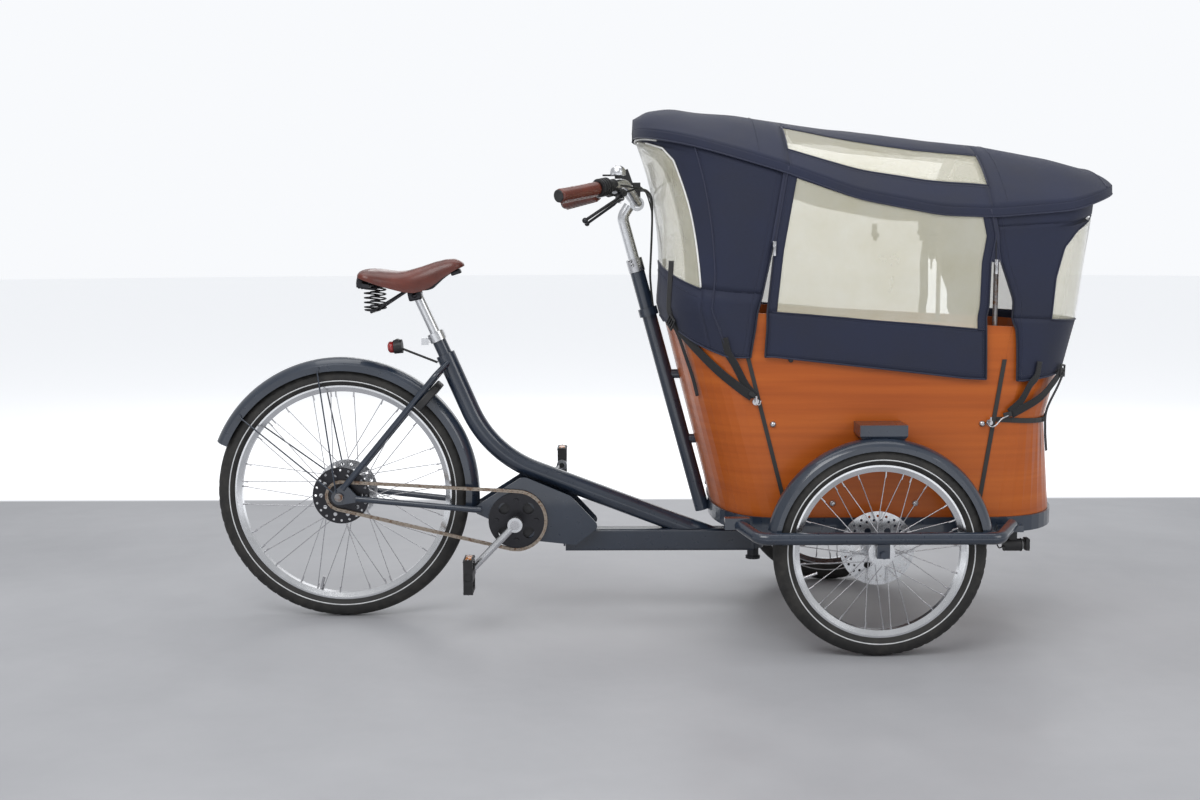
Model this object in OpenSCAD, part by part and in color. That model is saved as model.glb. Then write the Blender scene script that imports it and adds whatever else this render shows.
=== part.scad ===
// Three-wheeled cargo bicycle: the box, the front wheels and the handlebar
// post turn together on a kingpin at the end of the rear frame.
// Every piece is first placed with the rear axle at x = 0, forward along +X,
// and bike() then moves the whole machine so that its middle is at x = 0.

/* [Wheels] */
// Outside diameter of the rear tyre
rear_tyre_d = 659; // [600:1:700]
// Outside diameter of each front tyre
front_tyre_d = 506; // [460:1:560]
// Width of every tyre
tyre_w = 50; // [40:1:54]
// Outside diameter of the rear rim
rear_rim_d = 571; // [520:1:612]
// Outside diameter of each front rim
front_rim_d = 418; // [372:1:466]
// Number of spokes in the rear wheel
rear_spoke_n = 36; // [24:4:48]
// Number of spokes in each front wheel
front_spoke_n = 28; // [20:4:40]
// Distance from the rear axle to the front axle
wheelbase = 1334; // [1300:1:1600]
// Distance between the middle planes of the front wheels
track = 770; // [760:1:900]

/* [Box] */
// Width of the box over its side panels
box_w = 610; // [500:1:640]
// Thickness of the plywood
ply = 12; // [8:1:16]
// Height of the box's bottom edge above the ground
box_z = 318; // [300:1:360]
// Height of the rim at the rear seam
rim_rear_z = 815; // [700:1:900]
// Height of the rim at the front seam
rim_front_z = 778; // [680:1:880]
// How far the rear panel bows backward
rear_bow = 163; // [120:1:190]
// How far the lower front panel bows forward
front_bow = 232; // [160:1:260]

/* [Frame] */
// Diameter of the curved main tube
main_tube_d = 50; // [42:1:56]
// Height of the lower beam's section
beam_h = 58; // [46:1:64]
// Width of the lower beam's section
beam_w = 50; // [42:1:58]
// Diameter of the kingpin
kingpin_d = 30; // [24:1:34]
// Running clearance of a shaft in its bore, on the radius
shaft_gap = 0.05; // [0.02:0.01:0.09]
// Diameter of the guard bars beside the front wheels
guard_d = 29; // [22:1:32]

/* [Drive] */
// Teeth on the chainring
ring_teeth = 38; // [32:1:44]
// Teeth on the rear sprocket
cog_teeth = 18; // [16:1:22]
// Length of a crank arm between its centres
crank_len = 165; // [150:1:175]
// Angle of the right crank arm from straight forward
crank_angle = 226; // [0:1:359]

/* [Rider] */
// Diameter of the seatpost
seatpost_d = 27.2; // [25:0.1:31.6]
// Diameter of the handlebar post
post_d = 38; // [34:1:46]
// Diameter of the stem's quill
quill_d = 28.6; // [25:0.1:30]
// Diameter of the handlebar
bar_d = 22.2; // [20:0.1:25.4]
// Length of a grip
grip_len = 128; // [100:1:140]

/* [Tent] */
// Width of the rain tent at its eaves
tent_w = 664; // [650:1:720]
// Thickness of the tent's cloth
cloth = 2.5; // [2:0.5:4]
// How far the tent's skirt stands off the box
skirt_gap = 7; // [5:1:12]

/* [Hidden] */
$fn = 64;

// ---- sizes that follow from the driving dimensions ----
rear_z = rear_tyre_d / 2;
front_z = front_tyre_d / 2;
wheel_y = track / 2;
tyre_r = tyre_w / 2;
box_y = box_w / 2;
bow_n = 2.6;                          // exponent of the bowed panels' plan curve
kingpin_x = wheelbase - 258;
base_h = 38;                          // height of the steel band under the box
base_z = box_z - base_h;
touch = 0.3;                          // gap between pieces that lie together

// box seams, as x at a height z
rear_seam_x0 = wheelbase - 211;       // at the bottom edge
rear_seam_lean = 0.258;               // backward, per unit of height
front_seam_x0 = wheelbase + 252;
front_seam_lean = 0.151;
crease_z = 556;                       // fold of the front, at the seam
crease_drop = 12;                     // how much lower the fold is at the nose
crease_bow = 172;
front_top_bow = 198;
rim_slope = (rim_rear_z - rim_front_z) / (rear_seam_x(rim_rear_z) - front_seam_x(rim_front_z));
function rear_seam_x(z) = rear_seam_x0 - rear_seam_lean * (z - box_z);
function front_seam_x(z) = front_seam_x0 + front_seam_lean * (z - box_z);
function rim_z(x) = rim_rear_z + rim_slope * (x - rear_seam_x(rim_rear_z));

// post, stem and handlebar
post_lean = 0.275;
post_foot = [kingpin_x - 134, 0, base_z + 2];
post_top_z = 905;
function post_at(z) = [post_foot.x - post_lean * (z - post_foot.z), 0, z];
stem_bend = post_at(1045);
bar_mid = [post_at(1078).x + 47, 0, 1078];
bar_out = [bar_mid.x - 34, 150, 1126];
bar_end = [bar_mid.x - 189, 312, 1090];
grip_dir = unit(bar_end - bar_out);

// rear frame
crank_c = [455, 0, 263];
seat_dir = unit([-0.412, 0, 0.911]);
seat_top = [246, 0, 748];
tube_knee = [384, 0, 432];
tube_end = [kingpin_x - 92, 0, base_z - 76];
beam_top = base_z - 47;
beam_x0 = 582;
sleeve_z0 = beam_top - beam_h + 6;
sleeve_z1 = base_z - 20;

// drive
pitch = 12.7;                         // chain pitch
ring_r = pitch / 2 / sin(180 / ring_teeth);
cog_r = pitch / 2 / sin(180 / cog_teeth);
chain_y = -54;
pedal_y = 148;
crank_dir = [cos(crank_angle), 0, sin(crank_angle)];
pedal_right_c = crank_c + crank_len * crank_dir + [0, -pedal_y, 0];
pedal_left_c = crank_c - crank_len * crank_dir + [0, pedal_y, 0];

// overall length, for the origin
mudguard_r = rear_tyre_d / 2 + 27.5;
mudguard_a0 = -6;
mudguard_a1 = 157;
tent_tip_x = wheelbase + 621;
origin_x = (tent_tip_x - 1 - rear_tyre_d / 2) / 2;

// colours
navy = [0.18, 0.21, 0.27];
cloth_navy = [0.16, 0.18, 0.31];
wood = [0.72, 0.38, 0.15];
leather = [0.46, 0.17, 0.09];
silver = [0.78, 0.78, 0.8];
steel = [0.6, 0.6, 0.62];
black = [0.08, 0.08, 0.09];
rubber = [0.1, 0.1, 0.1];

// ---- small helpers ----
function unit(v) = v / norm(v);
function lerp(a, b, t) = a + (b - a) * t;
function sgn_pow(v, p) = (v < 0 ? -1 : 1) * pow(abs(v), p);

module bike() {
    translate([-origin_x, 0, 0]) children();
}

// straight rod from a to b
module rod(a, b, d, fn = 32) {
    v = b - a;
    translate(a) rotate([0, acos(v.z / norm(v)), atan2(v.y, v.x)])
        cylinder(d = d, h = norm(v), $fn = fn);
}

// the two tangent points and the arc of a bend of radius r at corner b
function bend_in(a, b, c, r) = b + unit(a - b) * bend_len(a, b, c, r);
function bend_len(a, b, c, r) =
    let (half = acos(unit(a - b) * unit(c - b)) / 2) r / tan(half);

module bend(a, b, c, r, d) {
    u = unit(a - b);
    v = unit(c - b);
    half = acos(u * v) / 2;
    mid = b + unit(u + v) * r / sin(half);
    e1 = unit(b + u * r / tan(half) - mid);
    e2 = -u;
    e3 = cross(e1, e2);
    multmatrix([
        [e1.x, e2.x, e3.x, mid.x],
        [e1.y, e2.y, e3.y, mid.y],
        [e1.z, e2.z, e3.z, mid.z],
        [0, 0, 0, 1]])
        rotate_extrude(angle = 180 - 2 * half) translate([r, 0])
            circle(d = d + bend_swell, $fn = 32);
}
bend_swell = 0.12;                    // bends are this much thicker than the straights
bend_lap = 0.5;                       // and the straights reach this far into them

// a tube of round section through the points, with bends of radius r
module bent_rod(pts, r, d) {
    last = len(pts) - 1;
    for (i = [0 : last - 1]) {
        a = i == 0 ? pts[0] : pts[i] + unit(pts[i + 1] - pts[i])
            * bend_len(pts[i - 1], pts[i], pts[i + 1], r);
        b = i == last - 1 ? pts[last] : bend_in(pts[i], pts[i + 1], pts[i + 2], r);
        along = unit(b - a);
        rod(a - (i > 0 ? bend_lap : 0) * along, b + (i < last - 1 ? bend_lap : 0) * along, d);
    }
    for (i = [1 : 1 : last - 1]) bend(pts[i - 1], pts[i], pts[i + 1], r, d);
}

// ring or disc turned about the Y axis through c
module disc_y(c, y0, y1, r) {
    translate([c.x, y1, c.z]) rotate([90, 0, 0]) cylinder(r = r, h = y1 - y0);
}

module both_sides() {
    children();
    mirror([0, 1, 0]) children();
}

// closed sheet from a grid of points; each point's back lies along its own vector
module sheet(front, back) {
    n = len(front);
    m = len(front[0]);
    pts = concat([for (row = front) each row], [for (row = back) each row]);
    k = n * m;
    faces = concat(
        [for (i = [0 : n - 2], j = [0 : m - 2]) each [
            [i * m + j, i * m + j + 1, (i + 1) * m + j + 1],
            [i * m + j, (i + 1) * m + j + 1, (i + 1) * m + j]]],
        [for (i = [0 : n - 2], j = [0 : m - 2]) each [
            [k + i * m + j, k + (i + 1) * m + j + 1, k + i * m + j + 1],
            [k + i * m + j, k + (i + 1) * m + j, k + (i + 1) * m + j + 1]]],
        [for (i = [0 : n - 2]) each [
            [i * m, (i + 1) * m, k + (i + 1) * m],
            [i * m, k + (i + 1) * m, k + i * m],
            [i * m + m - 1, k + (i + 1) * m + m - 1, (i + 1) * m + m - 1],
            [i * m + m - 1, k + i * m + m - 1, k + (i + 1) * m + m - 1]]],
        [for (j = [0 : m - 2]) each [
            [j, k + j + 1, j + 1],
            [j, k + j, k + j + 1],
            [(n - 1) * m + j, (n - 1) * m + j + 1, k + (n - 1) * m + j + 1],
            [(n - 1) * m + j, k + (n - 1) * m + j + 1, k + (n - 1) * m + j]]]);
    polyhedron(pts, faces, convexity = 8);
}

// plan curve of a bowed panel: t from -1 (right seam) through 0 (middle) to 1 (left seam)
function bow_xy(t, bow, half, n = bow_n) =
    let (a = 90 * t) [bow * pow(abs(cos(a)), 2 / n), half * sgn_pow(sin(a), 2 / n)];
bow_steps = 24;

// ---- wheels ----
hub_gap = 0.25;                       // spokes stop this far from hub and rim
rim_h = 18;

// tyre about the Y axis, standing on its bead beside the rim
module tyre(d, rim_d) {
    rotate([90, 0, 0]) rotate_extrude($fn = 96) difference() {
        translate([d / 2 - tyre_r, 0]) circle(r = tyre_r, $fn = 40);
        translate([d / 2 - tyre_r, 0]) circle(r = tyre_r - 4, $fn = 40);
        translate([0, -tyre_w]) square([rim_d / 2 + touch, 2 * tyre_w]);
    }
}

// box-section rim with a shallow well
module rim(rim_d) {
    rotate([90, 0, 0]) rotate_extrude($fn = 96) difference() {
        polygon([
            [rim_d / 2 - rim_h, -9], [rim_d / 2 - 6, -14], [rim_d / 2, -14],
            [rim_d / 2, 14], [rim_d / 2 - 6, 14], [rim_d / 2 - rim_h, 9]]);
        translate([rim_d / 2 - 6, -11]) square([10, 22]);
    }
}

// crossed spokes from two flanges of radius flange_r at y = +-flange_y
module spokes(n, flange_r, flange_y, rim_d) {
    cross_angle = 58;
    r0 = flange_r + hub_gap + 0.6;
    r1 = rim_d / 2 - rim_h - hub_gap;
    for (i = [0 : n - 1]) {
        side = i % 2 == 0 ? 1 : -1;
        lead = floor(i / 2) % 2 == 0 ? 1 : -1;
        a0 = 360 * i / n - lead * cross_angle / 2;
        a1 = 360 * i / n + lead * cross_angle * 0.06;
        y0 = side * (flange_y + lead * 2.2);
        rod([r0 * cos(a0), y0, r0 * sin(a0)], [r1 * cos(a1), side * 3, r1 * sin(a1)], 2.2, 16);
        rod([(r1 - 14) * cos(a1), side * 3.4, (r1 - 14) * sin(a1)],
            [r1 * cos(a1), side * 3, r1 * sin(a1)], 4, 16);
    }
}

module valve(rim_d, a) {
    r1 = rim_d / 2 - rim_h - hub_gap;
    rod([(r1 - 34) * cos(a), 0, (r1 - 34) * sin(a)], [r1 * cos(a), 0, r1 * sin(a)], 7, 24);
}

rear_axle_d = 12;
rear_flange_r = 52;
rear_flange_y = 30;
front_axle_d = 17;
front_flange_r = 31;
front_flange_y = 24;
hub_half = 34;
dropout_y = 70;

module at_rear_wheel() { translate([0, 0, rear_z]) children(); }

module rear_tyre() { color(rubber) bike() at_rear_wheel() tyre(rear_tyre_d, rear_rim_d); }
module rear_rim() { color(silver) bike() at_rear_wheel() rim(rear_rim_d); }
module rear_spokes() {
    color(steel) bike() at_rear_wheel() {
        spokes(rear_spoke_n, rear_flange_r, rear_flange_y, rear_rim_d);
        valve(rear_rim_d, 365 * 0.7);
    }
}

// geared hub shell: barrel, two flanges and a drilled cooling disc on the left
module rear_hub() {
    o = [0, 0, 0];
    color(silver) bike() at_rear_wheel() difference() {
        union() {
            disc_y(o, -44, 44, 40);
            for (s = [-1, 1]) disc_y(o, s * rear_flange_y - 5, s * rear_flange_y + 5, rear_flange_r);
            disc_y(o, 44 - touch, 50, 30);
            disc_y(o, 46, 49, 80);
        }
        disc_y(o, -60, 60, rear_axle_d / 2 + shaft_gap);
        for (i = [0 : 17]) rotate([0, 20 * i, 0]) disc_y([68, 0, 0], 40, 60, 4);
        for (i = [0 : 17]) rotate([0, 20 * i + 10, 0]) disc_y([54, 0, 0], 40, 60, 3);
    }
}

module rear_axle() {
    color(steel) bike() at_rear_wheel() {
        disc_y([0, 0, 0], -86, 86, rear_axle_d / 2);
        both_sides() disc_y([0, 0, 0], dropout_y + 4 + touch, dropout_y + 13, 11);
        both_sides() disc_y([0, 0, 0], 51, dropout_y - 4 - touch, 9);
    }
}

// sprocket with its drilled guard disc outside
module rear_sprocket() {
    color(black) bike() at_rear_wheel() difference() {
        union() {
            disc_y([0, 0, 0], chain_y - 1.2, chain_y + 1.2, cog_r - 5.5);
            for (i = [0 : cog_teeth - 1]) rotate([0, 360 * i / cog_teeth, 0])
                translate([cog_r - 7, chain_y - 1.2, -1.4]) cube([2.9, 2.4, 2.8]);
            disc_y([0, 0, 0], chain_y + 1, -44 - touch, 26);
            disc_y([0, 0, 0], -49.2, -47.2, 74);
        }
        disc_y([0, 0, 0], -80, 0, 9 + shaft_gap);
        for (i = [0 : 19]) rotate([0, 18 * i, 0]) disc_y([66, 0, 0], -60, -40, 3.2);
        for (i = [0 : 9]) rotate([0, 36 * i, 0]) disc_y([52, 0, 0], -60, -40, 5);
    }
}

front_hub_r = 20;
rotor_r = 89;
rotor_y = -30;                        // towards the box, from the wheel's middle plane

// one front wheel's place: s = -1 right, +1 left
module at_front_wheel(s) {
    translate([wheelbase, s * wheel_y, front_z]) mirror([0, s < 0 ? 0 : 1, 0]) children();
}

module front_tyre(s) { bike() at_front_wheel(s) tyre(front_tyre_d, front_rim_d); }
module front_rim(s) { bike() at_front_wheel(s) rim(front_rim_d); }
module front_spokes(s) {
    bike() at_front_wheel(s) {
        spokes(front_spoke_n, front_flange_r, front_flange_y, front_rim_d);
        valve(front_rim_d, 200);
    }
}

// flanged hub with a drilled brake rotor on its inner side
module front_hub(s) {
    o = [0, 0, 0];
    bike() at_front_wheel(s) difference() {
        union() {
            disc_y(o, -hub_half, -rotor_y, front_hub_r);
            for (k = [-1, 1])
                disc_y(o, k * front_flange_y - 3, k * front_flange_y + 3, front_flange_r);
            disc_y(o, -rotor_y - 1, -rotor_y + 1.5, rotor_r);
        }
        disc_y(o, -60, 60, front_axle_d / 2 + shaft_gap);
        for (i = [0 : 23]) rotate([0, 15 * i, 0]) disc_y([78, 0, 0], 20, 40, 3.2);
        for (i = [0 : 23]) rotate([0, 15 * i + 7.5, 0]) disc_y([68, 0, 0], 20, 40, 3.2);
        for (i = [0 : 5]) rotate([0, 60 * i, 0]) disc_y([47, 0, 0], 20, 40, 8);
    }
}

module right_tyre() { color(rubber) front_tyre(-1); }
module right_rim() { color(silver) front_rim(-1); }
module right_spokes() { color(steel) front_spokes(-1); }
module right_hub() { color(silver) front_hub(-1); }
module left_tyre() { color(rubber) front_tyre(1); }
module left_rim() { color(silver) front_rim(1); }
module left_spokes() { color(steel) front_spokes(1); }
module left_hub() { color(silver) front_hub(1); }

// ---- rear frame ----
seat_tube_d = 36;
clamp_h = 22;

// curved main tube with the seat tube at its top and the steering sleeve's web below
module main_frame() {
    color(navy) bike() difference() {
        union() {
            bent_rod([seat_top + seat_dir * -60, tube_knee, tube_end], 300, main_tube_d);
            rod(seat_top + seat_dir * -75, seat_top, seat_tube_d, 48);
        }
        rod(seat_top - seat_dir * 230, seat_top + seat_dir * 5, seatpost_d + 2 * shaft_gap, 48);
        translate([tube_end.x - 260, -beam_w, beam_top - 80 + touch]) cube([400, 2 * beam_w, 80]);
    }
}

// straight beam from the motor to the steering sleeve
module lower_beam() {
    lip = 7;
    color(navy) bike() difference() {
        union() {
            translate([beam_x0, 0, beam_top - beam_h / 2]) rotate([90, 0, 90])
                linear_extrude(kingpin_x - beam_x0)
                    offset(r = lip) square([beam_w - 2 * lip, beam_h - 2 * lip], center = true);
            translate([kingpin_x, 0, sleeve_z0])
                cylinder(d = kingpin_d + 22, h = sleeve_z1 - sleeve_z0);
        }
        translate([kingpin_x, 0, 0]) cylinder(r = kingpin_d / 2 + shaft_gap, h = 400);
    }
}

stay_top = seat_top + seat_dir * -78;
stay_d = 16;
cover_in = 44 + touch;
cover_t = 5;
stay_end = [crank_c.x - ring_r - 14, cover_in + cover_t + touch + stay_d / 2, crank_c.z + 28];
lock_angle = 48.1;

// seat stays, chain stays and dropout plates
module rear_stays() {
    axle = [0, dropout_y, rear_z];
    color(navy) bike() both_sides() {
        difference() {
            bent_rod([
                [stay_top.x + 6, 14, stay_top.z], [stay_top.x - 28, 54, stay_top.z - 36],
                [8, dropout_y, rear_z + 20]], 30, stay_d);
            rod(stay_top - seat_dir * 150, stay_top + seat_dir * 90, main_tube_d + 2 * touch, 48);
        }
        rod([42, dropout_y + 2, rear_z - 5], stay_end, stay_d);
        difference() {
            translate([0, dropout_y + 4, 0]) rotate([90, 0, 0]) linear_extrude(8)
                hull() {
                    translate([0, rear_z]) circle(r = 21);
                    translate([12, rear_z + 26]) circle(r = 8);
                    translate([42, rear_z - 6]) circle(r = 8);
                }
            disc_y(axle, 0, 200, rear_axle_d / 2 + shaft_gap);
        }
    }
}

// mid motor under the chainring, held in the frame's cradle
module motor_unit() {
    color(black) bike() difference() {
        union() {
            disc_y(crank_c, -44, 44, 58);
            hull() {
                disc_y(crank_c + [10, 0, 4], -38, 38, 62);
                disc_y(crank_c + [76, 0, -8], -34, 34, 40);
            }
        }
        disc_y(crank_c, -100, 100, 12 + shaft_gap);
    }
}

// painted plates on both sides of the motor that carry the frame's load
module motor_cover() {
    color(navy) bike() {
        both_sides() difference() {
            translate([0, cover_in + cover_t, 0]) rotate([90, 0, 0]) linear_extrude(cover_t) hull() {
                translate([stay_end.x - 4, stay_end.z]) circle(r = 13);
                translate([crank_c.x + 20, crank_c.z + 86]) circle(r = 26);
                translate([crank_c.x + 130, crank_c.z + 46]) circle(r = 20);
                translate([crank_c.x + 196, crank_c.z - 16]) circle(r = 14);
                translate([crank_c.x + 150, crank_c.z - 52]) circle(r = 14);
                translate([crank_c.x + 60, crank_c.z - 36]) circle(r = 20);
            }
            disc_y(crank_c, 30, 70, 54);
        }
        difference() {
            translate([crank_c.x + 122, -cover_in, beam_top - 40]) cube([28, 2 * cover_in, 92]);
            bent_rod([seat_top + seat_dir * -60, tube_knee, tube_end], 300,
                main_tube_d + 2 * touch);
            translate([beam_x0 - touch, -beam_w, beam_top - 80])
                cube([200, 2 * beam_w, 80 + touch]);
        }
    }
}

mudguard_half = 33;
mudguard_t = 2.5;

// C-section strip about the wheel between two angles; r is its outer radius
module mudguard(r, half, skirt, a0, a1) {
    rotate([90, 0, 0]) rotate([0, 0, a0]) rotate_extrude(angle = a1 - a0, $fn = 96)
        difference() {
            translate([r - skirt, -half]) intersection() {
                square([skirt, 2 * half]);
                translate([skirt - half * 1.18, half]) circle(r = half * 1.18);
            }
            translate([r - skirt - 1, -half + mudguard_t]) intersection() {
                square([skirt + 1 - mudguard_t, 2 * (half - mudguard_t)]);
                translate([skirt + 1 - mudguard_t - (half - mudguard_t) * 1.18, half - mudguard_t])
                    circle(r = (half - mudguard_t) * 1.18);
            }
        }
}

module rear_mudguard() {
    stay = mudguard_r - 24;
    color(navy) bike() {
        at_rear_wheel() mudguard(mudguard_r, mudguard_half, 34, mudguard_a0, mudguard_a1);
        both_sides() for (a = [100, 142])
            rod([-6 + 12 * cos(a), dropout_y + 8, rear_z + 12],
                [stay * cos(a), mudguard_half + 2.2 + touch, rear_z + stay * sin(a)], 4, 16);
        both_sides() for (a = [100, 142])
            translate([stay * cos(a), mudguard_half + touch, rear_z + stay * sin(a)])
                rotate([-90, 0, 0]) cylinder(d = 12, h = 4.5);
    }
}

// ring clamp and bolt at the top of the seat tube
module seat_clamp() {
    color(silver) bike() {
        difference() {
            rod(seat_top - seat_dir * clamp_h, seat_top + seat_dir * 2, seat_tube_d + 8, 48);
            rod(seat_top - seat_dir * 40, seat_top + seat_dir * 10, seat_tube_d + 2 * touch, 48);
        }
        for (k = [6, 16]) rod(
            seat_top - seat_dir * k + [-26, -12, -11], seat_top - seat_dir * k + [-26, 12, -11], 6);
        translate([seat_top.x - 36, -7, seat_top.z - 31]) cube([18, 14, 18]);
    }
}

light_c = [140, 0, 712];

// tail light: round black housing, red lens and the bracket to the seat tube
module tail_light() {
    color(black) bike() {
        rod(light_c + [-2, 0, 0], light_c + [20, 0, 2], 36, 48);
        rod(light_c + [-12, 0, -1], light_c + [-2 - touch, 0, 0], 30, 48);
        rod(light_c + [18, 0, -4], seat_top - seat_dir * 84 + [-30, 0, 0], 6, 24);
        rod(light_c + [6, -14, 14], light_c + [6, 14, 14], 14, 32);
    }
}

// U-shaped wheel lock across the tyre, in front of the seat stays
module ring_lock() {
    at = 318;
    color(black) bike() at_rear_wheel() rotate([0, -lock_angle, 0]) translate([at, 0, 0])
        rotate([0, 0, -100]) rotate_extrude(angle = 200) translate([62, 0])
            offset(r = 4) square([8, 12], center = true);
}

// closed chain loop: two runs and two wraps, a strip in the chainline
module chain() {
    a = [0, rear_z];
    b = [crank_c.x, crank_c.z];
    span = norm(b - a);
    tilt = atan2(b.y - a.y, b.x - a.x);
    wrap = asin((ring_r - cog_r) / span);
    run = span * cos(wrap);
    w = 6.5;
    h = 7.5;
    color(steel) bike() translate([a.x, chain_y, a.y]) rotate([90, 0, 0]) rotate([0, 0, tilt])
        translate([0, 0, -w / 2]) {
            for (s = [-1, 1]) rotate([0, 0, s * (90 + wrap)]) translate([cog_r - h / 2, 0, 0])
                translate([0, s < 0 ? 0 : -run, 0]) cube([h, run, w]);
            rotate([0, 0, 90 + wrap]) rotate_extrude(angle = 180 - 2 * wrap)
                translate([cog_r - h / 2, 0]) square([h, w]);
            translate([span, 0, 0]) rotate([0, 0, -90 - wrap])
                rotate_extrude(angle = 180 + 2 * wrap) translate([ring_r - h / 2, 0])
                    square([h, w]);
        }
}

// ---- crank and pedals ----
module crank_spindle() {
    color(steel) bike() disc_y(crank_c, -pedal_y + 30, pedal_y - 30, 12);
}

module chainring() {
    arms = 4;
    color(black) bike() translate(crank_c) {
        difference() {
            disc_y([0, 0, 0], chain_y - 1.2, chain_y + 1.2, ring_r - 4.5);
            disc_y([0, 0, 0], chain_y - 5, chain_y + 5, 12 + touch);
            for (i = [0 : arms - 1]) rotate([0, 90 * i + 45, 0])
                disc_y([45, 0, 0], chain_y - 5, chain_y + 5, 15);
        }
        for (i = [0 : arms - 1]) rotate([0, 90 * i, 0])
            disc_y([52, 0, 0], chain_y - 6, chain_y - 1.2 - touch, 6);
    }
}

// one crank arm from its boss to the pedal eye, s = -1 right, +1 left
module crank_arm(s) {
    tip = crank_c - s * crank_len * crank_dir;
    y = s * (pedal_y - 38);
    difference() {
        union() {
            disc_y(crank_c, y - 9, y + 9, 19);
            rod([crank_c.x, y, crank_c.z], [tip.x, y + s * 4, tip.z], 19);
            disc_y(tip, y + s * 6 - 8, y + s * 6 + 8, 14);
        }
        disc_y(crank_c, -200, 200, 12 + touch / 3);
        disc_y(tip, -200, 200, 7 + shaft_gap);
    }
}
module crank_arms() { color(silver) bike() { crank_arm(-1); crank_arm(1); } }

// pedal: axle, two cage plates, rubber blocks and a reflector at each end
module pedal(c, s) {
    w = 68;
    long = 88;
    translate(c) {
        disc_y([0, 0, 0], s < 0 ? -8 : -40, s < 0 ? 40 : 8, 7);
        disc_y([0, 0, 0], s < 0 ? -w + 24 : -23.5, s < 0 ? 23.5 : w - 24, 10.8);
        translate([-12, s < 0 ? -w + 22 : -22, -long / 2]) difference() {
            cube([24, w, long]);
            translate([-1, 8, 9]) cube([30, w - 16, long / 2 - 22]);
            translate([-1, 8, long / 2 + 13]) cube([30, w - 16, long / 2 - 22]);
            translate([12, s < 0 ? w - 22 : 22, long / 2]) rotate([90, 0, 0])
                cylinder(r = 11, h = 300, center = true);
        }
    }
}
module pedal_right() { color(black) bike() pedal(pedal_right_c, -1); }
module pedal_left() { color(black) bike() pedal(pedal_left_c, 1); }

// ---- saddle ----
saddle_c = seat_top + seat_dir * 122;
module seatpost() {
    color(silver) bike() {
        rod(seat_top - seat_dir * 190, saddle_c, seatpost_d, 48);
        rod(saddle_c + [0, -24, 0], saddle_c + [0, 24, 0], 26);
    }
}

saddle_nose_x = 318;
saddle_rear_x = 56;
saddle_z = 905;
function saddle_half(t) = 26 + 84 * pow(max(0, 1 - t), 1.7) * (1 - 0.35 * pow(max(0, 0.18 - t) / 0.18, 2));
function saddle_top_z(t) = saddle_z + 6 * cos(180 * t) + 34 * pow(t, 2.2) - 12 * sin(180 * t);
function saddle_pt(t, u, drop) =
    let (half = saddle_half(t), a = u * 100)
    [lerp(saddle_rear_x, saddle_nose_x, t),
     (half - drop) * sin(a) / sin(100) * (t > 0.93 ? 1 - 3 * (t - 0.93) : 1),
     saddle_top_z(t) - drop - (1 - cos(a)) * lerp(30, 26, t)];
module saddle_top() {
    n = 16;
    m = 12;
    color(leather) bike() sheet(
        [for (i = [0 : n]) [for (j = [0 : m]) saddle_pt(i / n, lerp(-1, 1, j / m), 0)]],
        [for (i = [0 : n]) [for (j = [0 : m]) saddle_pt(i / n, lerp(-1, 1, j / m), 4)]]);
}

spring_c = [92, 50, 840];
spring_r = 20;
// rails, cantle bar, base bar and the two coil springs between them
module saddle_frame() {
    color(steel) bike() {
        both_sides() bent_rod([
            [spring_c.x, spring_c.y, spring_c.z - 34], [saddle_c.x - 20, 20, saddle_c.z],
            [saddle_c.x + 40, 20, saddle_c.z + 4], [saddle_nose_x - 30, 8, 911]], 25, 7);
        rod([spring_c.x, -spring_c.y - 20, spring_c.z - 34], [spring_c.x, spring_c.y + 20,
            spring_c.z - 34], 7);
        rod([spring_c.x - spring_r, -84, spring_c.z + 29],
            [spring_c.x - spring_r, 84, spring_c.z + 29], 9);
        sheet(cantle(4 + touch), cantle(7));
        for (s = [-1, 1]) translate([spring_c.x, s * spring_c.y, 0]) coil_spring();
    }
}

// inner face of the plate that carries the leather's rear edge
function cantle(drop) = [for (i = [0 : 2])
    [for (j = [0 : 12]) saddle_pt(i / 16, lerp(-1, 1, j / 12), drop)]];

module coil_spring() {
    turns = 4.5;
    steps = 72;
    sides = 6;
    d = 4.2;
    z0 = spring_c.z - 28;
    z1 = spring_c.z + 25;
    function coil(t) = [spring_r * cos(360 * turns * t), spring_r * sin(360 * turns * t),
        lerp(z0, z1, t)];
    ring = [for (i = [0 : steps]) let (c = coil(i / steps), a = 360 * turns * i / steps)
        [for (k = [0 : sides - 1]) let (b = 360 * k / sides)
            c + d / 2 * [cos(a) * cos(b), sin(a) * cos(b), sin(b)]]];
    faces = concat(
        [for (i = [0 : steps - 1], k = [0 : sides - 1]) each [
            [i * sides + k, i * sides + (k + 1) % sides, (i + 1) * sides + (k + 1) % sides],
            [i * sides + k, (i + 1) * sides + (k + 1) % sides, (i + 1) * sides + k]]],
        [[for (k = [sides - 1 : -1 : 0]) k]], [[for (k = [0 : sides - 1]) steps * sides + k]]);
    polyhedron([for (row = ring) each row], faces);
}

// ---- front frame ----
// plan outline of the box at its bottom edge, grown outward by g
function base_plan(g) = concat(
    [for (i = [0 : bow_steps]) let (p = bow_xy(lerp(1, -1, i / bow_steps), rear_bow + g, box_y + g))
        [rear_seam_x0 - p.x, -p.y]],
    [for (i = [0 : bow_steps]) let (p = bow_xy(lerp(1, -1, i / bow_steps), front_bow + g, box_y + g))
        [front_seam_x0 + p.x, p.y]]);

axle_beam = 36;
function guard_y() = wheel_y + tyre_r + guard_d / 2 + 4;
guard_z = 291;
stub_in = wheel_y - hub_half - 4;

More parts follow.
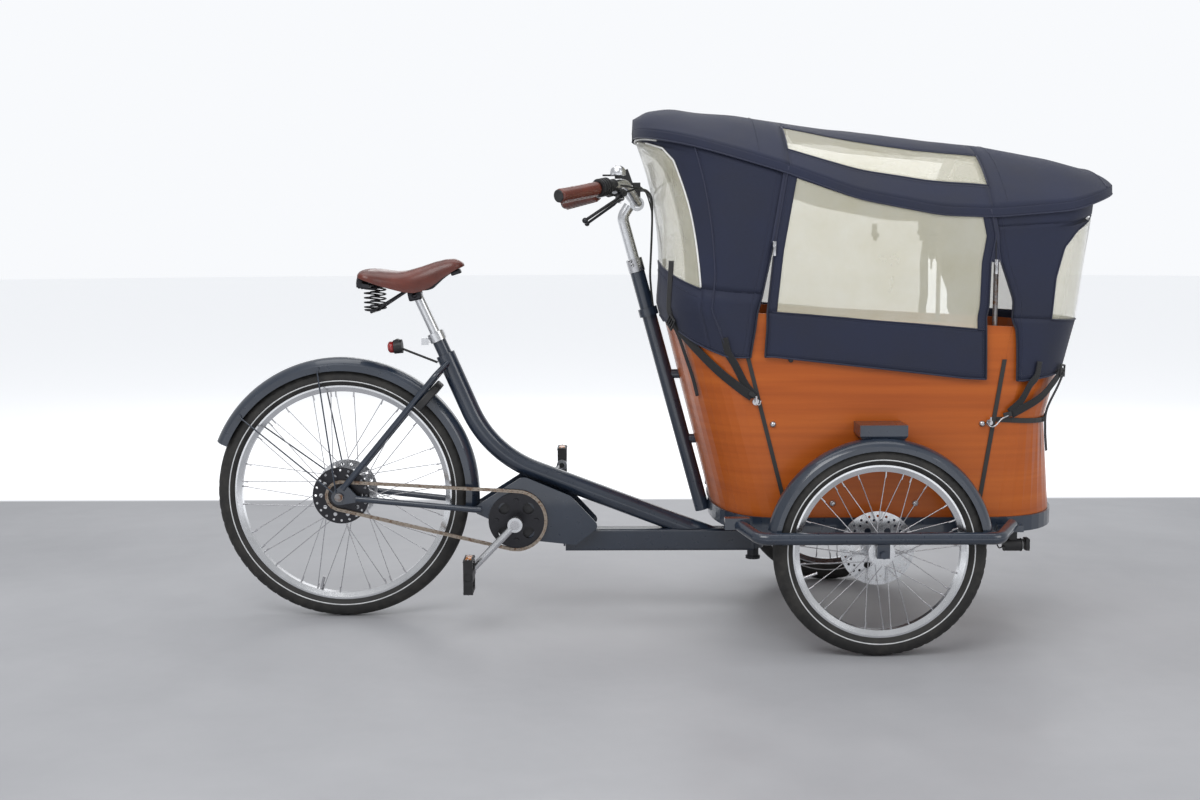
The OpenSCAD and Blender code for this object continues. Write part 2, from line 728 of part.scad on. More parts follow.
// steel band under the box, cross tubes, kingpin block and the wheels' stub axles
module base_frame() {
    color(navy) bike() {
        difference() {
            translate([0, 0, base_z]) linear_extrude(base_h - touch) difference() {
                polygon(base_plan(5));
                polygon(base_plan(-20));
            }
            rod(post_at(post_foot.z - 40), post_at(500), post_d + 2 * touch, 48);
            translate([kingpin_x, 0, 0]) cylinder(r = kingpin_d / 2, h = 900);
        }
        for (x = [kingpin_x + 70, wheelbase + 210])
            translate([x - 20, -box_y + 18, base_z]) cube([40, box_w - 36, base_h - 10]);
        for (s = [-1, 1])
            translate([kingpin_x - 60, s * 60 - 15, base_z]) cube([wheelbase + 230 - kingpin_x, 30, 26]);
        difference() {
            translate([kingpin_x - 70, -50, base_z]) cube([150, 100, base_h - 10]);
            translate([kingpin_x, 0, 0]) cylinder(r = kingpin_d / 2, h = 900);
        }
        translate([wheelbase - axle_beam / 2, -stub_in + 2, front_z - axle_beam / 2])
            cube([axle_beam, 2 * stub_in - 4, axle_beam + base_z - front_z - axle_beam / 2 + 1]);
        both_sides() disc_y([wheelbase, 0, front_z], stub_in - 10, guard_y() + 12,
            front_axle_d / 2);
    }
}

// kingpin with its lower nut and flange
module kingpin() {
    color(black) bike() {
        translate([kingpin_x, 0, sleeve_z0 - 30]) cylinder(d = kingpin_d, h = base_z + 26 - sleeve_z0 + 30);
        translate([kingpin_x, 0, sleeve_z0 - 31]) cylinder(d = kingpin_d + 8, h = 7);
        difference() {
            translate([kingpin_x, 0, sleeve_z1 + touch])
                cylinder(d = kingpin_d + 16, h = base_z - sleeve_z1 - 2 * touch);
            translate([kingpin_x, 0, 0]) cylinder(d = kingpin_d - 1, h = 900);
        }
    }
}

// tubes outside the front wheels with their end brackets and the axle plates
module guard_bars() {
    in_y = box_y + 8;
    color(navy) bike() both_sides() difference() {
        union() {
            bent_rod([
                [kingpin_x - 70, in_y + 12, guard_z + 14], [kingpin_x - 30, guard_y(), guard_z],
                [wheelbase + 272, guard_y(), guard_z], [wheelbase + 330, in_y + 6, guard_z + 10]],
                28, guard_d);
            translate([kingpin_x - 104, in_y - touch, base_z + 14]) cube([60, 24, 28]);
            translate([wheelbase + 296, box_y - 40, base_z + 4]) cube([62, 60, 16]);
            translate([wheelbase - 15, guard_y() - 4, front_z - 9]) cube([30, 8, 42]);
        }
        disc_y([wheelbase, 0, front_z], 0, 900, front_axle_d / 2 + touch / 3);
        translate([0, 0, base_z - 1]) linear_extrude(base_h + 2) polygon(base_plan(5 + touch));
    }
}

// ---- box ----
floor_inset = 55;
floor_panel_t = 2;
module box_floor() {
    color(wood) bike() translate([0, 0, box_z]) {
        linear_extrude(ply) polygon(base_plan(-ply - 8 * touch));
        linear_extrude(ply + floor_panel_t)
            polygon([for (p = base_plan(-floor_inset))
                if (p.x >= front_seam_x0 || abs(p.y) > box_y - floor_inset - 0.1)
                    [max(p.x, bench_x1 + 12), p.y]]);
    }
}

// flat side panel between the two seams, under the sloping rim
module box_sides() {
    color(wood) bike() both_sides() translate([0, box_y, 0]) rotate([90, 0, 0])
        linear_extrude(ply) polygon([
            [rear_seam_x(box_z) + touch, box_z], [front_seam_x(box_z) - touch, box_z],
            [front_seam_x(rim_front_z) - touch, rim_front_z],
            [rear_seam_x(rim_rear_z) + touch, rim_rear_z]]);
}

// one side of a bowed panel as rows of points between two heights
function bowed(rows, dir, inset) = [for (r = rows)
    [for (i = [0 : bow_steps]) let (t = lerp(-1, 1, i / bow_steps),
        p = bow_xy(t, r[2] - inset, box_y - inset))
        [r[0] + dir * p.x, p.y, r[1] + r[3] * pow(cos(90 * t), 2 / bow_n)]]];

function rear_row(z) = [rear_seam_x(z), z, rear_bow, z > box_z ? 8 : 0];
module box_rear() {
    rows = [rear_row(box_z), rear_row(rim_rear_z)];
    color(wood) bike() sheet(bowed(rows, -1, 0), bowed(rows, -1, ply));
}

// front rows: seam x, height, bow, and how far the nose hangs below the seam
front_rows = [
    [front_seam_x(box_z), box_z, front_bow, 0],
    [front_seam_x(crease_z), crease_z, crease_bow, -crease_drop],
    [front_seam_x(rim_front_z), rim_front_z, front_top_bow, -10]];
module box_front() {
    color(wood) bike() {
        low = [front_rows[0], [front_rows[1].x, crease_z - 1, crease_bow, -crease_drop]];
        high = [[front_rows[1].x, crease_z + 1, crease_bow, -crease_drop], front_rows[2]];
        sheet(bowed(low, 1, ply), bowed(low, 1, 0));
        sheet(bowed(high, 1, ply), bowed(high, 1, 0));
    }
}

// dark strips over the seams and the front fold
module box_trim() {
    w = 9;
    color(black) bike() {
        both_sides() translate([0, box_y + 2.4 + touch, 0]) rotate([90, 0, 0]) linear_extrude(2.4)
            for (f = [0, 1]) polygon([
                [f ? front_seam_x(box_z) - w : rear_seam_x(box_z) - 1, box_z],
                [f ? front_seam_x(box_z) + 1 : rear_seam_x(box_z) + w, box_z],
                [f ? front_seam_x(700) + 1 : rear_seam_x(720) + w, f ? 700 : 720],
                [f ? front_seam_x(700) - w : rear_seam_x(720) - 1, f ? 700 : 720]]);
        strip = [for (z = [crease_z - 6, crease_z + 6])
            [front_seam_x(crease_z) + 2, z, crease_bow + 3, -crease_drop]];
        sheet(bowed(strip, 1, -touch), bowed(strip, 1, -2.4));
    }
}

hook_rear = [rear_seam_x(600) - 4, 600];
hook_front = [front_seam_x(548) - 14, 548];

// ball-headed bolts in the sides and the hooks for the tent's straps
module box_hardware() {
    y = box_y + touch;
    bolts = [
        [rear_seam_x(545) + 24, 545], [rear_seam_x(350) + 26, 350],
        [front_seam_x(545) - 30, 545], [front_seam_x(345) - 26, 345],
        [wheelbase - 100, 352], [wheelbase + 100, 352]];
    color(steel) bike() difference() {
        rod(post_at(post_top_z + touch), post_at(post_top_z + 33), post_d + 4, 48);
        rod(post_at(post_top_z - 20), post_at(post_top_z + 60), quill_d + 2 * shaft_gap, 48);
    }
    color(steel) bike() both_sides() {
        for (b = bolts) translate([b.x, y, b.y]) rotate([-90, 0, 0]) intersection() {
            translate([0, 0, -1.5]) sphere(r = 8);
            cylinder(r = 9, h = 8);
        }
        for (h = [hook_rear, hook_front]) translate([h.x, y + 2.6, h.y]) {
            rotate([-90, 0, 0]) cylinder(d = 16, h = 2.5);
            rod([0, 2, 0], [0, 16, 0], 7, 24);
            rod([0, 13, 0], [0, 13, 15], 5, 24);
        }
    }
}

bench_z = 548;
bench_x0 = rear_seam_x0 - 44;
bench_x1 = bench_x0 + 235;

// bench: seat board and its front board on the floor
module bench() {
    inner = box_w - 2 * ply - 2 * touch;
    color(wood) bike() {
        translate([bench_x0, -inner / 2, bench_z]) cube([bench_x1 - bench_x0, inner, ply]);
        translate([bench_x1 - 20, -inner / 2, box_z + ply + touch])
            cube([ply, inner, bench_z - box_z - ply - 2 * touch]);
    }
}

cushion_t = 42;
// seat cushion on the board and a back cushion leaning like the rear panel
module cushions() {
    inner = box_w - 2 * ply - 24;
    lean = atan(rear_seam_lean);
    back_x = bench_x0 + 2 + cushion_t * cos(lean);
    board = bench_z + ply + touch;
    color([0.25, 0.27, 0.32]) bike() {
        translate([back_x + touch, -inner / 2, board])
            cube([bench_x1 - 6 - back_x, inner, cushion_t]);
        translate([back_x, -inner / 2 + 20, board + cushion_t * sin(lean)])
            rotate([0, -lean, 0]) translate([-cushion_t, 0, 0]) cube([cushion_t, inner - 40, 190]);
    }
}

front_mudguard_r = front_tyre_d / 2 + 17;
// arched guards over the front wheels, each carried by a block from the box
module front_mudguards() {
    top = front_z + front_mudguard_r;
    color(navy) bike() both_sides() {
        translate([wheelbase, wheel_y, front_z]) mudguard(front_mudguard_r, 30, 28, 11, 169);
        difference() {
            hull() {
                translate([wheelbase - 52, box_y + touch, top + 4]) cube([112, wheel_y - box_y + 8, 26]);
                translate([wheelbase - 44, box_y + touch, top - 8]) cube([96, wheel_y - box_y, 30]);
            }
            translate([wheelbase, wheel_y - 60, front_z]) rotate([-90, 0, 0])
                cylinder(r = front_mudguard_r + touch, h = 120, $fn = 96);
        }
        translate([wheelbase - 20, box_y + touch, front_z + front_mudguard_r - 26])
            cube([40, wheel_y - 30 - box_y - 2 * touch, 22]);
    }
}

lamp_c = [wheelbase + 345, -(box_y - 25), 244];
// headlight under the nose: housing, bracket and the reflector beside it
module headlight() {
    color(black) bike() {
        rod(lamp_c + [-22, 0, 0], lamp_c + [20, 0, 0], 30, 48);
        translate(lamp_c + [-9, -7, 12]) cube([18, 14, base_z - lamp_c.z - 12 - touch]);
        translate(lamp_c + [30, -13, -12]) cube([8, 26, 28]);
        translate(lamp_c + [6, -4, 8]) cube([26, 8, 6]);
    }
}

// leaning post with the clamp at its top, the panel brackets and the quill's bore
module handlebar_post() {
    top = post_at(post_top_z);
    depth = 260;
    up = unit(top - post_foot);
    color(navy) bike() difference() {
        union() {
            rod(post_foot, top, post_d, 48);
            rod(post_at(792), post_at(812), post_d + 12, 48);
            for (z = [470, 640]) hull() {
                translate(post_at(z)) rotate([0, 90, 0]) cylinder(d = 24, h = 10, $fn = 32);
                translate(post_at(z) + [post_d / 2 + 24, 0, 0]) rotate([0, 90, 0])
                    cylinder(d = 24, h = 2, $fn = 32);
            }
        }
        rod(top - up * depth, top + up * 10, quill_d + 2 * shaft_gap, 48);
        sheet(bowed([rear_row(box_z), rear_row(rim_rear_z)], -1, -touch),
            bowed([rear_row(box_z), rear_row(rim_rear_z)], -1, ply));
    }
}

// ---- handlebar ----
quill_low = post_at(post_top_z - 200);
// quill with its forward bend and the bar clamp, which slide in the post
module stem() {
    color(silver) bike() {
        bent_rod([quill_low, stem_bend, bar_mid + [-20, 0, -4]], 30, quill_d);
        difference() {
            disc_y(bar_mid, -22, 22, 18);
            disc_y(bar_mid, -60, 60, (bar_d + touch) / 2);
        }
    }
}

// bar swept back on both sides
module handlebar() {
    color(silver) bike() both_sides() bent_rod([
        bar_mid, bar_mid + [0, 66, 0], bar_out, bar_end], 42, bar_d);
}

// stitched grips on the bar's ends
module grips() {
    color(leather) bike() both_sides() difference() {
        union() {
            rod(bar_end - grip_dir * grip_len, bar_end + grip_dir * 4, 34, 40);
            rod(bar_end + grip_dir * 4, bar_end + grip_dir * 7, 30, 40);
        }
        rod(bar_end - grip_dir * (grip_len + 9), bar_end, bar_d + touch, 40);
    }
}

function on_bar(d) = bar_end - grip_dir * (grip_len + d);
lever_pin = on_bar(50) + [26, 0, -20];
lever_tip = bar_end - grip_dir * 30 + [38, -6, -62];
pin_dir = unit(cross(grip_dir, lever_tip - bar_end));
bell_c = on_bar(74) + [0, 0, bar_d / 2 + 2 + touch];

// clamps on the bar: lever perches with their pins, bell and display
module cockpit() {
    color(black) bike() {
        both_sides() difference() {
            union() {
                rod(on_bar(41), on_bar(59), 31, 40);
                rod(on_bar(50), lever_pin + [4, 0, 4], 14, 32);
                rod(lever_pin - pin_dir * 9, lever_pin + pin_dir * 9, 18, 32);
            }
            rod(on_bar(0), on_bar(90), bar_d + touch / 3, 40);
            rod(lever_pin - pin_dir * 4.3, lever_pin + pin_dir * 4.3, 44, 32);
        }
        both_sides() rod(lever_pin - pin_dir * 10, lever_pin + pin_dir * 10, 6, 32);
        translate(bar_mid + [-24, -32, 46]) rotate([0, -20, 0]) cube([14, 64, 40]);
        difference() {
            translate(bar_mid + [-12, -26, 10]) cube([20, 12, 44]);
            disc_y(bar_mid, -60, 60, 18 + touch);
        }
        mirror([0, 1, 0]) translate(bell_c) {
            cylinder(d = 16, h = 6);
            translate([0, 0, 14]) intersection() {
                sphere(d = 36);
                translate([0, 0, -3]) cylinder(d = 40, h = 30);
            }
            cylinder(d = 6, h = 14);
        }
    }
}

// thumb lever under the bell's dome
module bell_lever() {
    color(black) bike() mirror([0, 1, 0]) translate(bell_c + [0, 0, 6 + touch]) difference() {
        union() {
            cylinder(d = 14, h = 4);
            translate([-30, -4, 0]) cube([28, 8, 4]);
            translate([-32, 0, 0]) cylinder(d = 12, h = 4);
        }
        translate([0, 0, -1]) cylinder(r = 3 + shaft_gap, h = 9);
    }
}

// brake lever: boss on its pin and a curved blade reaching back under the grip
module brake_lever(s) {
    mirror([0, s < 0 ? 1 : 0, 0]) difference() {
        union() {
            rod(lever_pin - pin_dir * 4, lever_pin + pin_dir * 4, 17);
            bent_rod([lever_pin, lever_pin + grip_dir * 36 + unit(lever_tip - bar_end) * 14,
                lever_tip], 22, 7.6);
            translate(lever_tip) sphere(d = 11, $fn = 32);
        }
        rod(lever_pin - pin_dir * 30, lever_pin + pin_dir * 30, 6 + 2 * shaft_gap);
    }
}
module brake_lever_left() { color(black) bike() brake_lever(1); }
module brake_lever_right() { color(black) bike() brake_lever(-1); }

// ribbed gear twister inboard of the right grip
module twist_shifter() {
    color(black) bike() mirror([0, 1, 0]) difference() {
        union() {
            rod(on_bar(1), on_bar(34), 42, 48);
            for (i = [0 : 3]) rod(on_bar(4 + 8 * i), on_bar(8 + 8 * i), 45, 48);
        }
        rod(on_bar(-1), on_bar(60), bar_d + 2 * shaft_gap, 48);
    }
}

// ---- rain tent ----
tent_y = tent_w / 2;
tent_n = 2.3;
eave_mid_x = wheelbase - 577;
eave_bow = 290;

// eave line: height along the side, and the ridge above it
eave_pts = [[-577, 1262], [-445, 1228], [-222, 1161], [-53, 1100], [142, 1062], [271, 1057],
    [456, 1072], [621, 1124]];
ridge_pts = [[-577, 1284], [-555, 1306], [-482, 1318], [0, 1258], [311, 1219], [459, 1195],
    [580, 1156], [621, 1126]];
function table(pts, x, i = 0) =
    i >= len(pts) - 2 || x < pts[i + 1].x
        ? lerp(pts[i].y, pts[i + 1].y, (x - pts[i].x) / (pts[i + 1].x - pts[i].x))
        : table(pts, x, i + 1);

// half width of the roof at a place along it
roof_front_x = 456;
front_visor = 8;
function roof_half(x) =
    x < -577 + eave_bow ? tent_y * pow(max(0, 1 - pow((-577 + eave_bow - x) / eave_bow, tent_n)),
        1 / tent_n)
    : x < roof_front_x - 60 ? tent_y
    : tent_y * pow(max(0, 1 - pow((x - roof_front_x + 60) / (621 - roof_front_x + 60), 2.2)), 1 / 2.2);
function roof_pt(x, v) =
    let (half = max(roof_half(x), 1))
    [wheelbase + x, v * half, lerp(table(ridge_pts, x), table(eave_pts, x), pow(abs(v), 2.2))];

// part of the roof between two places along it and two shares of its half width
module roof_patch(x0, x1, v0, v1, n = 8, m = 4) {
    rows = [for (i = [0 : n]) [for (j = [0 : m])
        roof_pt(lerp(x0, x1, i / n), lerp(min(v0, v1), max(v0, v1), j / m))]];
    sheet(rows, [for (r = rows) [for (p = r) p - [0, 0, cloth]]]);
}
win_x0 = -215;
win_x1 = 262;
win_v0 = 0.5;
win_v1 = 0.84;
roof_x0 = eave_mid_x - wheelbase + 2;
roof_x1 = tent_tip_x - wheelbase - 1;
roof_curl = 90;                       // stretch at each end with closer rows

module tent_roof() {
    color(cloth_navy) bike() {
        roof_patch(roof_x0, roof_x0 + roof_curl, -1, 1, 10, 16);
        roof_patch(roof_x0 + roof_curl, win_x0, -1, 1, 6, 16);
        roof_patch(win_x1, roof_x1 - roof_curl, -1, 1, 6, 16);
        roof_patch(roof_x1 - roof_curl, roof_x1, -1, 1, 10, 16);
        roof_patch(win_x0, win_x1, -win_v0, win_v0, 6, 8);
        for (s = [-1, 1]) roof_patch(win_x0, win_x1, s * win_v1, s, 6, 2);
    }
}

// walls: u runs from the middle of the rear (0) past the rear corner (1) and the front
// corner (2) to the middle of the front (3), its sign is the side; v is 0 at the hem,
// 1 at the box's rim and 2 at the eave
hem_pts = [[0, 792], [0.35, 775], [0.62, 738], [0.9, 706], [1, 706], [1.1, 708], [1.85, 655],
    [2.1, 648], [2.5, 662], [3, 668]];
rear_push = 28;                       // how far the rear wall leans in between rim and eave
function wall_level(u, z, xr, bow_r, xf, bow_f, half, n) =
    let (a = abs(u), q = 2 / n)
    a < 1 ? [xr - bow_r * pow(cos(90 * a), q), sign(u) * half * pow(sin(90 * a), q), z]
    : a < 2 ? [lerp(xr, xf, a - 1), sign(u) * half, z]
    : [xf + bow_f * pow(cos(90 * (3 - a)), q), sign(u) * half * pow(sin(90 * (3 - a)), q), z];
function skirt_level(u, z, g) =
    wall_level(u, z, rear_seam_x(z), rear_bow + g, front_seam_x(z),
        end_bow(true, max(z, crease_z)) + 6 + g, box_y + g, bow_n);
function wall_pt(u, v, g = 0) =
    let (hem = skirt_level(u, table(hem_pts, abs(u)), skirt_gap + g),
        mid = skirt_level(u, 0, skirt_gap + g),
        rim = skirt_level(u, rim_z(mid.x) + 14, skirt_gap + g),
        flat = wall_level(u, 0, eave_mid_x + eave_bow, eave_bow - 2 + g,
            wheelbase + roof_front_x - 60, tent_tip_x - wheelbase - roof_front_x + front_visor + g,
            tent_y - 2 + g, tent_n),
        eave = [flat.x, flat.y, table(eave_pts, flat.x - wheelbase) - cloth - 2 * touch],
        push = rear_push * max(0, 1 - pow(abs(u), 2)) * sin(180 * max(0, v - 1)))
    v < 1 ? lerp(hem, rim, v) : lerp(rim, eave, v - 1) + [push, 0, 0];

// n equal steps from a to b, and the members of a list between two bounds
function steps(a, b, n) = [for (i = [0 : n]) lerp(a, b, i / n)];
function within(list, a, b) = [for (v = list) if (v >= a && v <= b) v];

// part of a wall over the rows of points us and vs; side is -1 right, +1 left
module wall(us, vs, side = 1) {
    cols = side > 0 ? us : [for (i = [len(us) - 1 : -1 : 0]) -us[i]];
    function rows(g) = [for (u = cols) [for (v = vs) wall_pt(u, v, g)]];
    sheet(rows(-cloth), rows(0));
}
door_u0 = 1.11;
door_u1 = 1.83;
door_gap = 0.0009;
door_edge = 0.035;
door_win_v0 = 1.02;
door_win_v1 = 1.95;
rear_win_u = 0.52;
rear_win_v0 = 1.06;
rear_win_v1 = 1.93;
front_win_u = 2.46;
front_win_v1 = 1.9;
rear_vs = concat([0, 0.35, 0.7, 1], steps(rear_win_v0, rear_win_v1, 5), [2]);
front_vs = concat([0, 0.35, 0.7], steps(1, front_win_v1, 4), [2]);
door_vs = concat([0, 0.35, 0.7, 1], steps(door_win_v0, door_win_v1, 5), [2]);
rear_us = steps(-rear_win_u, rear_win_u, 16);
front_us = concat(steps(front_win_u, 3, 8), steps(-2.95, -front_win_u, 8));
door_us = steps(door_u0 + door_edge, door_u1 - door_edge, 8);

module tent_walls() {
    color(cloth_navy) bike() {
        wall(rear_us, within(rear_vs, 0, rear_win_v0));
        wall(rear_us, within(rear_vs, rear_win_v1, 2));
        wall(front_us, within(front_vs, 0, 1));
        wall(front_us, within(front_vs, front_win_v1, 2));
        for (side = [-1, 1]) {
            wall(steps(rear_win_u, door_u0 - door_gap, 12), rear_vs, side);
            wall(steps(door_u1 + door_gap, front_win_u, 12), front_vs, side);
        }
    }
}

module tent_doors() {
    color(cloth_navy) bike() for (side = [-1, 1]) {
        wall(concat([door_u0], door_us, [door_u1]), within(door_vs, 0, door_win_v0), side);
        wall([door_u0, door_us[0]], within(door_vs, door_win_v0, 2), side);
        wall([door_us[8], door_u1], within(door_vs, door_win_v0, 2), side);
        wall(door_us, within(door_vs, door_win_v1, 2), side);
    }
}

module tent_windows() {
    color([0.9, 0.9, 0.82, 0.5]) bike() {
        wall(rear_us, within(rear_vs, rear_win_v0, rear_win_v1));
        wall(front_us, within(front_vs, 1, front_win_v1));
        for (side = [-1, 1]) {
            wall(door_us, within(door_vs, door_win_v0, door_win_v1), side);
            roof_patch(win_x0, win_x1, side * win_v0, side * win_v1, 6, 3);
        }
    }
}

bow_d = 12;
bow_y = box_y - ply - bow_d / 2 - touch;
// two bent hoops that stand on the box's side panels and carry the roof
module tent_bows() {
    color(steel) bike() for (x = [-300, 285]) {
        foot = rim_z(wheelbase + x) - 90;
        bent_rod([[wheelbase + x, -bow_y, foot], under_roof(x, -bow_y, 16),
            under_roof(x, -120, 22), under_roof(x, 120, 22),
            under_roof(x, bow_y, 16), [wheelbase + x, bow_y, foot]], 45, bow_d);
    }
}
function under_roof(x, y, d) = [wheelbase + x, y, roof_pt(x, abs(y) / roof_half(x)).z - d];

// webbing strip on a bowed end panel: from (t0, z0) to (t1, z1), its back g off the ply;
// its width lies across the panel when it hangs upright, else up and down
module webbing(front, t0, z0, t1, z1, w, g, upright = false, lift = 0) {
    n = 10;
    t = 1.6;
    function strip(gg) = [for (k = [0 : n]) [for (e = [-0.5, 0.5])
        end_pt(front, lerp(t0, t1, k / n), lerp(z0, z1, k / n) + (upright ? 0 : e * w),
            gg + lift * (1 - k / n)) + (upright ? [0, e * w, 0] : [0, 0, 0])]];
    both_sides()
        if (front == upright) sheet(strip(g + t), strip(g));
        else sheet(strip(g), strip(g + t));
}
function end_bow(front, z) = !front ? rear_bow
    : z < crease_z ? lerp(crease_bow, front_bow, (crease_z - z) / (crease_z - box_z))
    : lerp(crease_bow, front_top_bow, (z - crease_z) / (rim_front_z - crease_z));
function end_pt(front, t, z, g) =
    let (p = bow_xy(t, end_bow(front, z) + g, box_y + g))
    front ? [front_seam_x(z) + p.x, -p.y, z] : [rear_seam_x(z) - p.x, -p.y, z];

module tent_straps() {
    color(black) bike() {
        webbing(false, 0.34, 780, 0.98, 618, 25, 2.6);
        webbing(false, 0.36, 770, 0.42, 628, 16, 6, true);
        webbing(true, 0.6, 655, 0.98, 566, 20, 6, lift = 3.9);
        webbing(true, 0.5, 658, 0.5, 480, 16, 9.4, true);
    }
}

main_frame();
lower_beam();
rear_stays();
motor_unit();
motor_cover();
rear_mudguard();
seat_clamp();
tail_light();
ring_lock();
chain();
rear_axle();
rear_tyre();
rear_rim();
rear_spokes();
rear_hub();
rear_sprocket();
crank_spindle();
chainring();
crank_arms();
pedal_right();
pedal_left();
seatpost();
saddle_top();
saddle_frame();
base_frame();
kingpin();
guard_bars();
box_floor();
box_sides();
box_rear();
box_front();
box_trim();
box_hardware();
bench();
cushions();
front_mudguards();
headlight();
handlebar_post();
right_tyre();
right_rim();
right_spokes();
right_hub();
left_tyre();
left_rim();
left_spokes();
left_hub();
tent_roof();
tent_walls();
tent_doors();
tent_windows();
tent_bows();
tent_straps();
stem();
handlebar();
grips();
cockpit();
brake_lever_right();
brake_lever_left();
twist_shifter();
bell_lever();
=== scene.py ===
"""Looks of the cargo bicycle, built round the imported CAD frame."""
import math

import bmesh
import bpy
import numpy as np
from mathutils import Matrix, Vector, noise


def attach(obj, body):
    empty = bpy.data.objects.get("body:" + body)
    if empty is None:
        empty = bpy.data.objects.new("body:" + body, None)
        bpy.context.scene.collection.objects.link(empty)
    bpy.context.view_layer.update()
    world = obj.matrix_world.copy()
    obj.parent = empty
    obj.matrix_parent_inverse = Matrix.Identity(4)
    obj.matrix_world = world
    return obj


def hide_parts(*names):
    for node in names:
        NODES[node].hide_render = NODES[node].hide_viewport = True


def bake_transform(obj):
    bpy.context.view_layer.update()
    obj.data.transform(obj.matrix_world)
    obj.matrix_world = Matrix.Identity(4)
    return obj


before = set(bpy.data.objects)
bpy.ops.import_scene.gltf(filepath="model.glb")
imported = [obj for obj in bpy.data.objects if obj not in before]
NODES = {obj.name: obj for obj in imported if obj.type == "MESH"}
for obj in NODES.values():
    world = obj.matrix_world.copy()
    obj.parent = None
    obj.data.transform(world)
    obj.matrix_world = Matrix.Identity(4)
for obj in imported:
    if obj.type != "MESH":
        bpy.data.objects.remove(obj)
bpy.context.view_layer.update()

# ---- the bike's own frame: millimetres, rear axle at x 0; the row's origin lies further forward ----
WHEELBASE = 1334.0
TENT_TIP = WHEELBASE + 621
REAR_R, FRONT_R = 329.5, 253.0
WHEEL_Y = 385.0
ORIGIN_X = (TENT_TIP - 1 - REAR_R) / 2


def P(p):
    """Point of the bike's frame in millimetres as a point of the row frame in metres."""
    return Vector(((p[0] - ORIGIN_X) / 1000, p[1] / 1000, p[2] / 1000))


def V(*c):
    return Vector(c)


def lerp(a, b, t):
    return a + (b - a) * t


def steps(a, b, n):
    return [lerp(a, b, i / n) for i in range(n + 1)]


# ---- camera: the photograph's place and lens ----
cam_data = bpy.data.cameras.new("camera")
cam = bpy.data.objects.new("camera", cam_data)
bpy.context.scene.collection.objects.link(cam)
cam_data.sensor_width = 36
cam_data.lens = 42.42
cam_data.clip_end = 200
cam.location = P((672, -3672, 980))
CAM_PITCH, CAM_YAW, CAM_ROLL = 6.35, -0.02, -0.18
cam.rotation_euler = (
    Matrix.Rotation(math.radians(CAM_YAW), 3, "Z")
    @ Matrix.Rotation(math.radians(90 - CAM_PITCH), 3, "X")
    @ Matrix.Rotation(math.radians(CAM_ROLL), 3, "Z")
).to_euler()
bpy.context.scene.camera = cam


# ---- materials ----
class Look:
    """A node material on the Principled shader, with object coordinates."""

    def __init__(self, name, **sockets):
        self.m = bpy.data.materials.new(name)
        self.m.use_nodes = True
        self.t = self.m.node_tree
        self.t.nodes.clear()
        out = self.node("OutputMaterial")
        self.bsdf = self.node("BsdfPrincipled")
        self.link(self.bsdf.outputs[0], out.inputs[0])
        self.co = self.node("TexCoord").outputs["Object"]
        self.set(**sockets)

    def node(self, kind, inputs=None, **props):
        n = self.t.nodes.new("ShaderNode" + kind)
        for k, v in props.items():
            setattr(n, k, v)
        for k, v in (inputs or {}).items():
            n.inputs[k].default_value = v
        return n

    def link(self, a, b):
        self.t.links.new(a, b)

    def set(self, **sockets):
        for k, v in sockets.items():
            s = self.bsdf.inputs[k.replace("_", " ")]
            if isinstance(v, bpy.types.NodeSocket):
                self.link(v, s)
            else:
                s.default_value = (*v, 1) if isinstance(v, tuple) and len(v) == 3 else v

    def stretched(self, scale):
        n = self.node("Mapping")
        n.inputs["Scale"].default_value = scale
        self.link(self.co, n.inputs["Vector"])
        return n.outputs[0]

    def noise(self, scale, detail=3.0, rough=0.55, co=None, distortion=0.0):
        n = self.node("TexNoise", {"Scale": scale, "Detail": detail, "Roughness": rough,
                                   "Distortion": distortion})
        self.link(co or self.co, n.inputs["Vector"])
        return n.outputs["Fac"]

    def cells(self, scale, co=None, feature="F1", out="Distance"):
        n = self.node("TexVoronoi", {"Scale": scale}, feature=feature)
        self.link(co or self.co, n.inputs["Vector"])
        return n.outputs[out]

    def wave(self, scale, axis="X", kind="BANDS", distortion=0.0, co=None, detail_scale=1.0):
        n = self.node("TexWave", {"Scale": scale, "Distortion": distortion,
                                  "Detail Scale": detail_scale}, wave_type=kind)
        if kind == "BANDS":
            n.bands_direction = axis
        else:
            n.rings_direction = axis
        self.link(co or self.co, n.inputs["Vector"])
        return n.outputs["Fac"]

    def ramp(self, fac, *stops):
        n = self.node("ValToRGB")
        e = n.color_ramp.elements
        while len(e) < len(stops):
            e.new(0.5)
        for el, (pos, col) in zip(e, stops):
            el.position = pos
            el.color = (*col, 1) if isinstance(col, tuple) else (col, col, col, 1)
        self.link(fac, n.inputs[0])
        return n.outputs[0]

    def math(self, op, a, b=0.0, clamp=False):
        n = self.node("Math", operation=op, use_clamp=clamp)
        for i, v in enumerate((a, b)):
            if isinstance(v, bpy.types.NodeSocket):
                self.link(v, n.inputs[i])
            else:
                n.inputs[i].default_value = v
        return n.outputs[0]

    def mix(self, fac, a, b, kind="MIX"):
        n = self.node("Mix", data_type="RGBA", blend_type=kind)
        for i, v in ((0, fac), (6, a), (7, b)):
            if isinstance(v, bpy.types.NodeSocket):
                self.link(v, n.inputs[i])
            else:
                n.inputs[i].default_value = (*v, 1) if isinstance(v, tuple) else v
        return n.outputs[2]

    def bump(self, height, strength, distance, after=None):
        n = self.node("Bump", {"Strength": strength, "Distance": distance})
        self.link(height, n.inputs["Height"])
        if after:
            self.link(after, n.inputs["Normal"])
        self.set(Normal=n.outputs[0])
        return n.outputs[0]

    def axis(self, name):
        n = self.node("SeparateXYZ")
        self.link(self.co, n.inputs[0])
        return n.outputs[name]


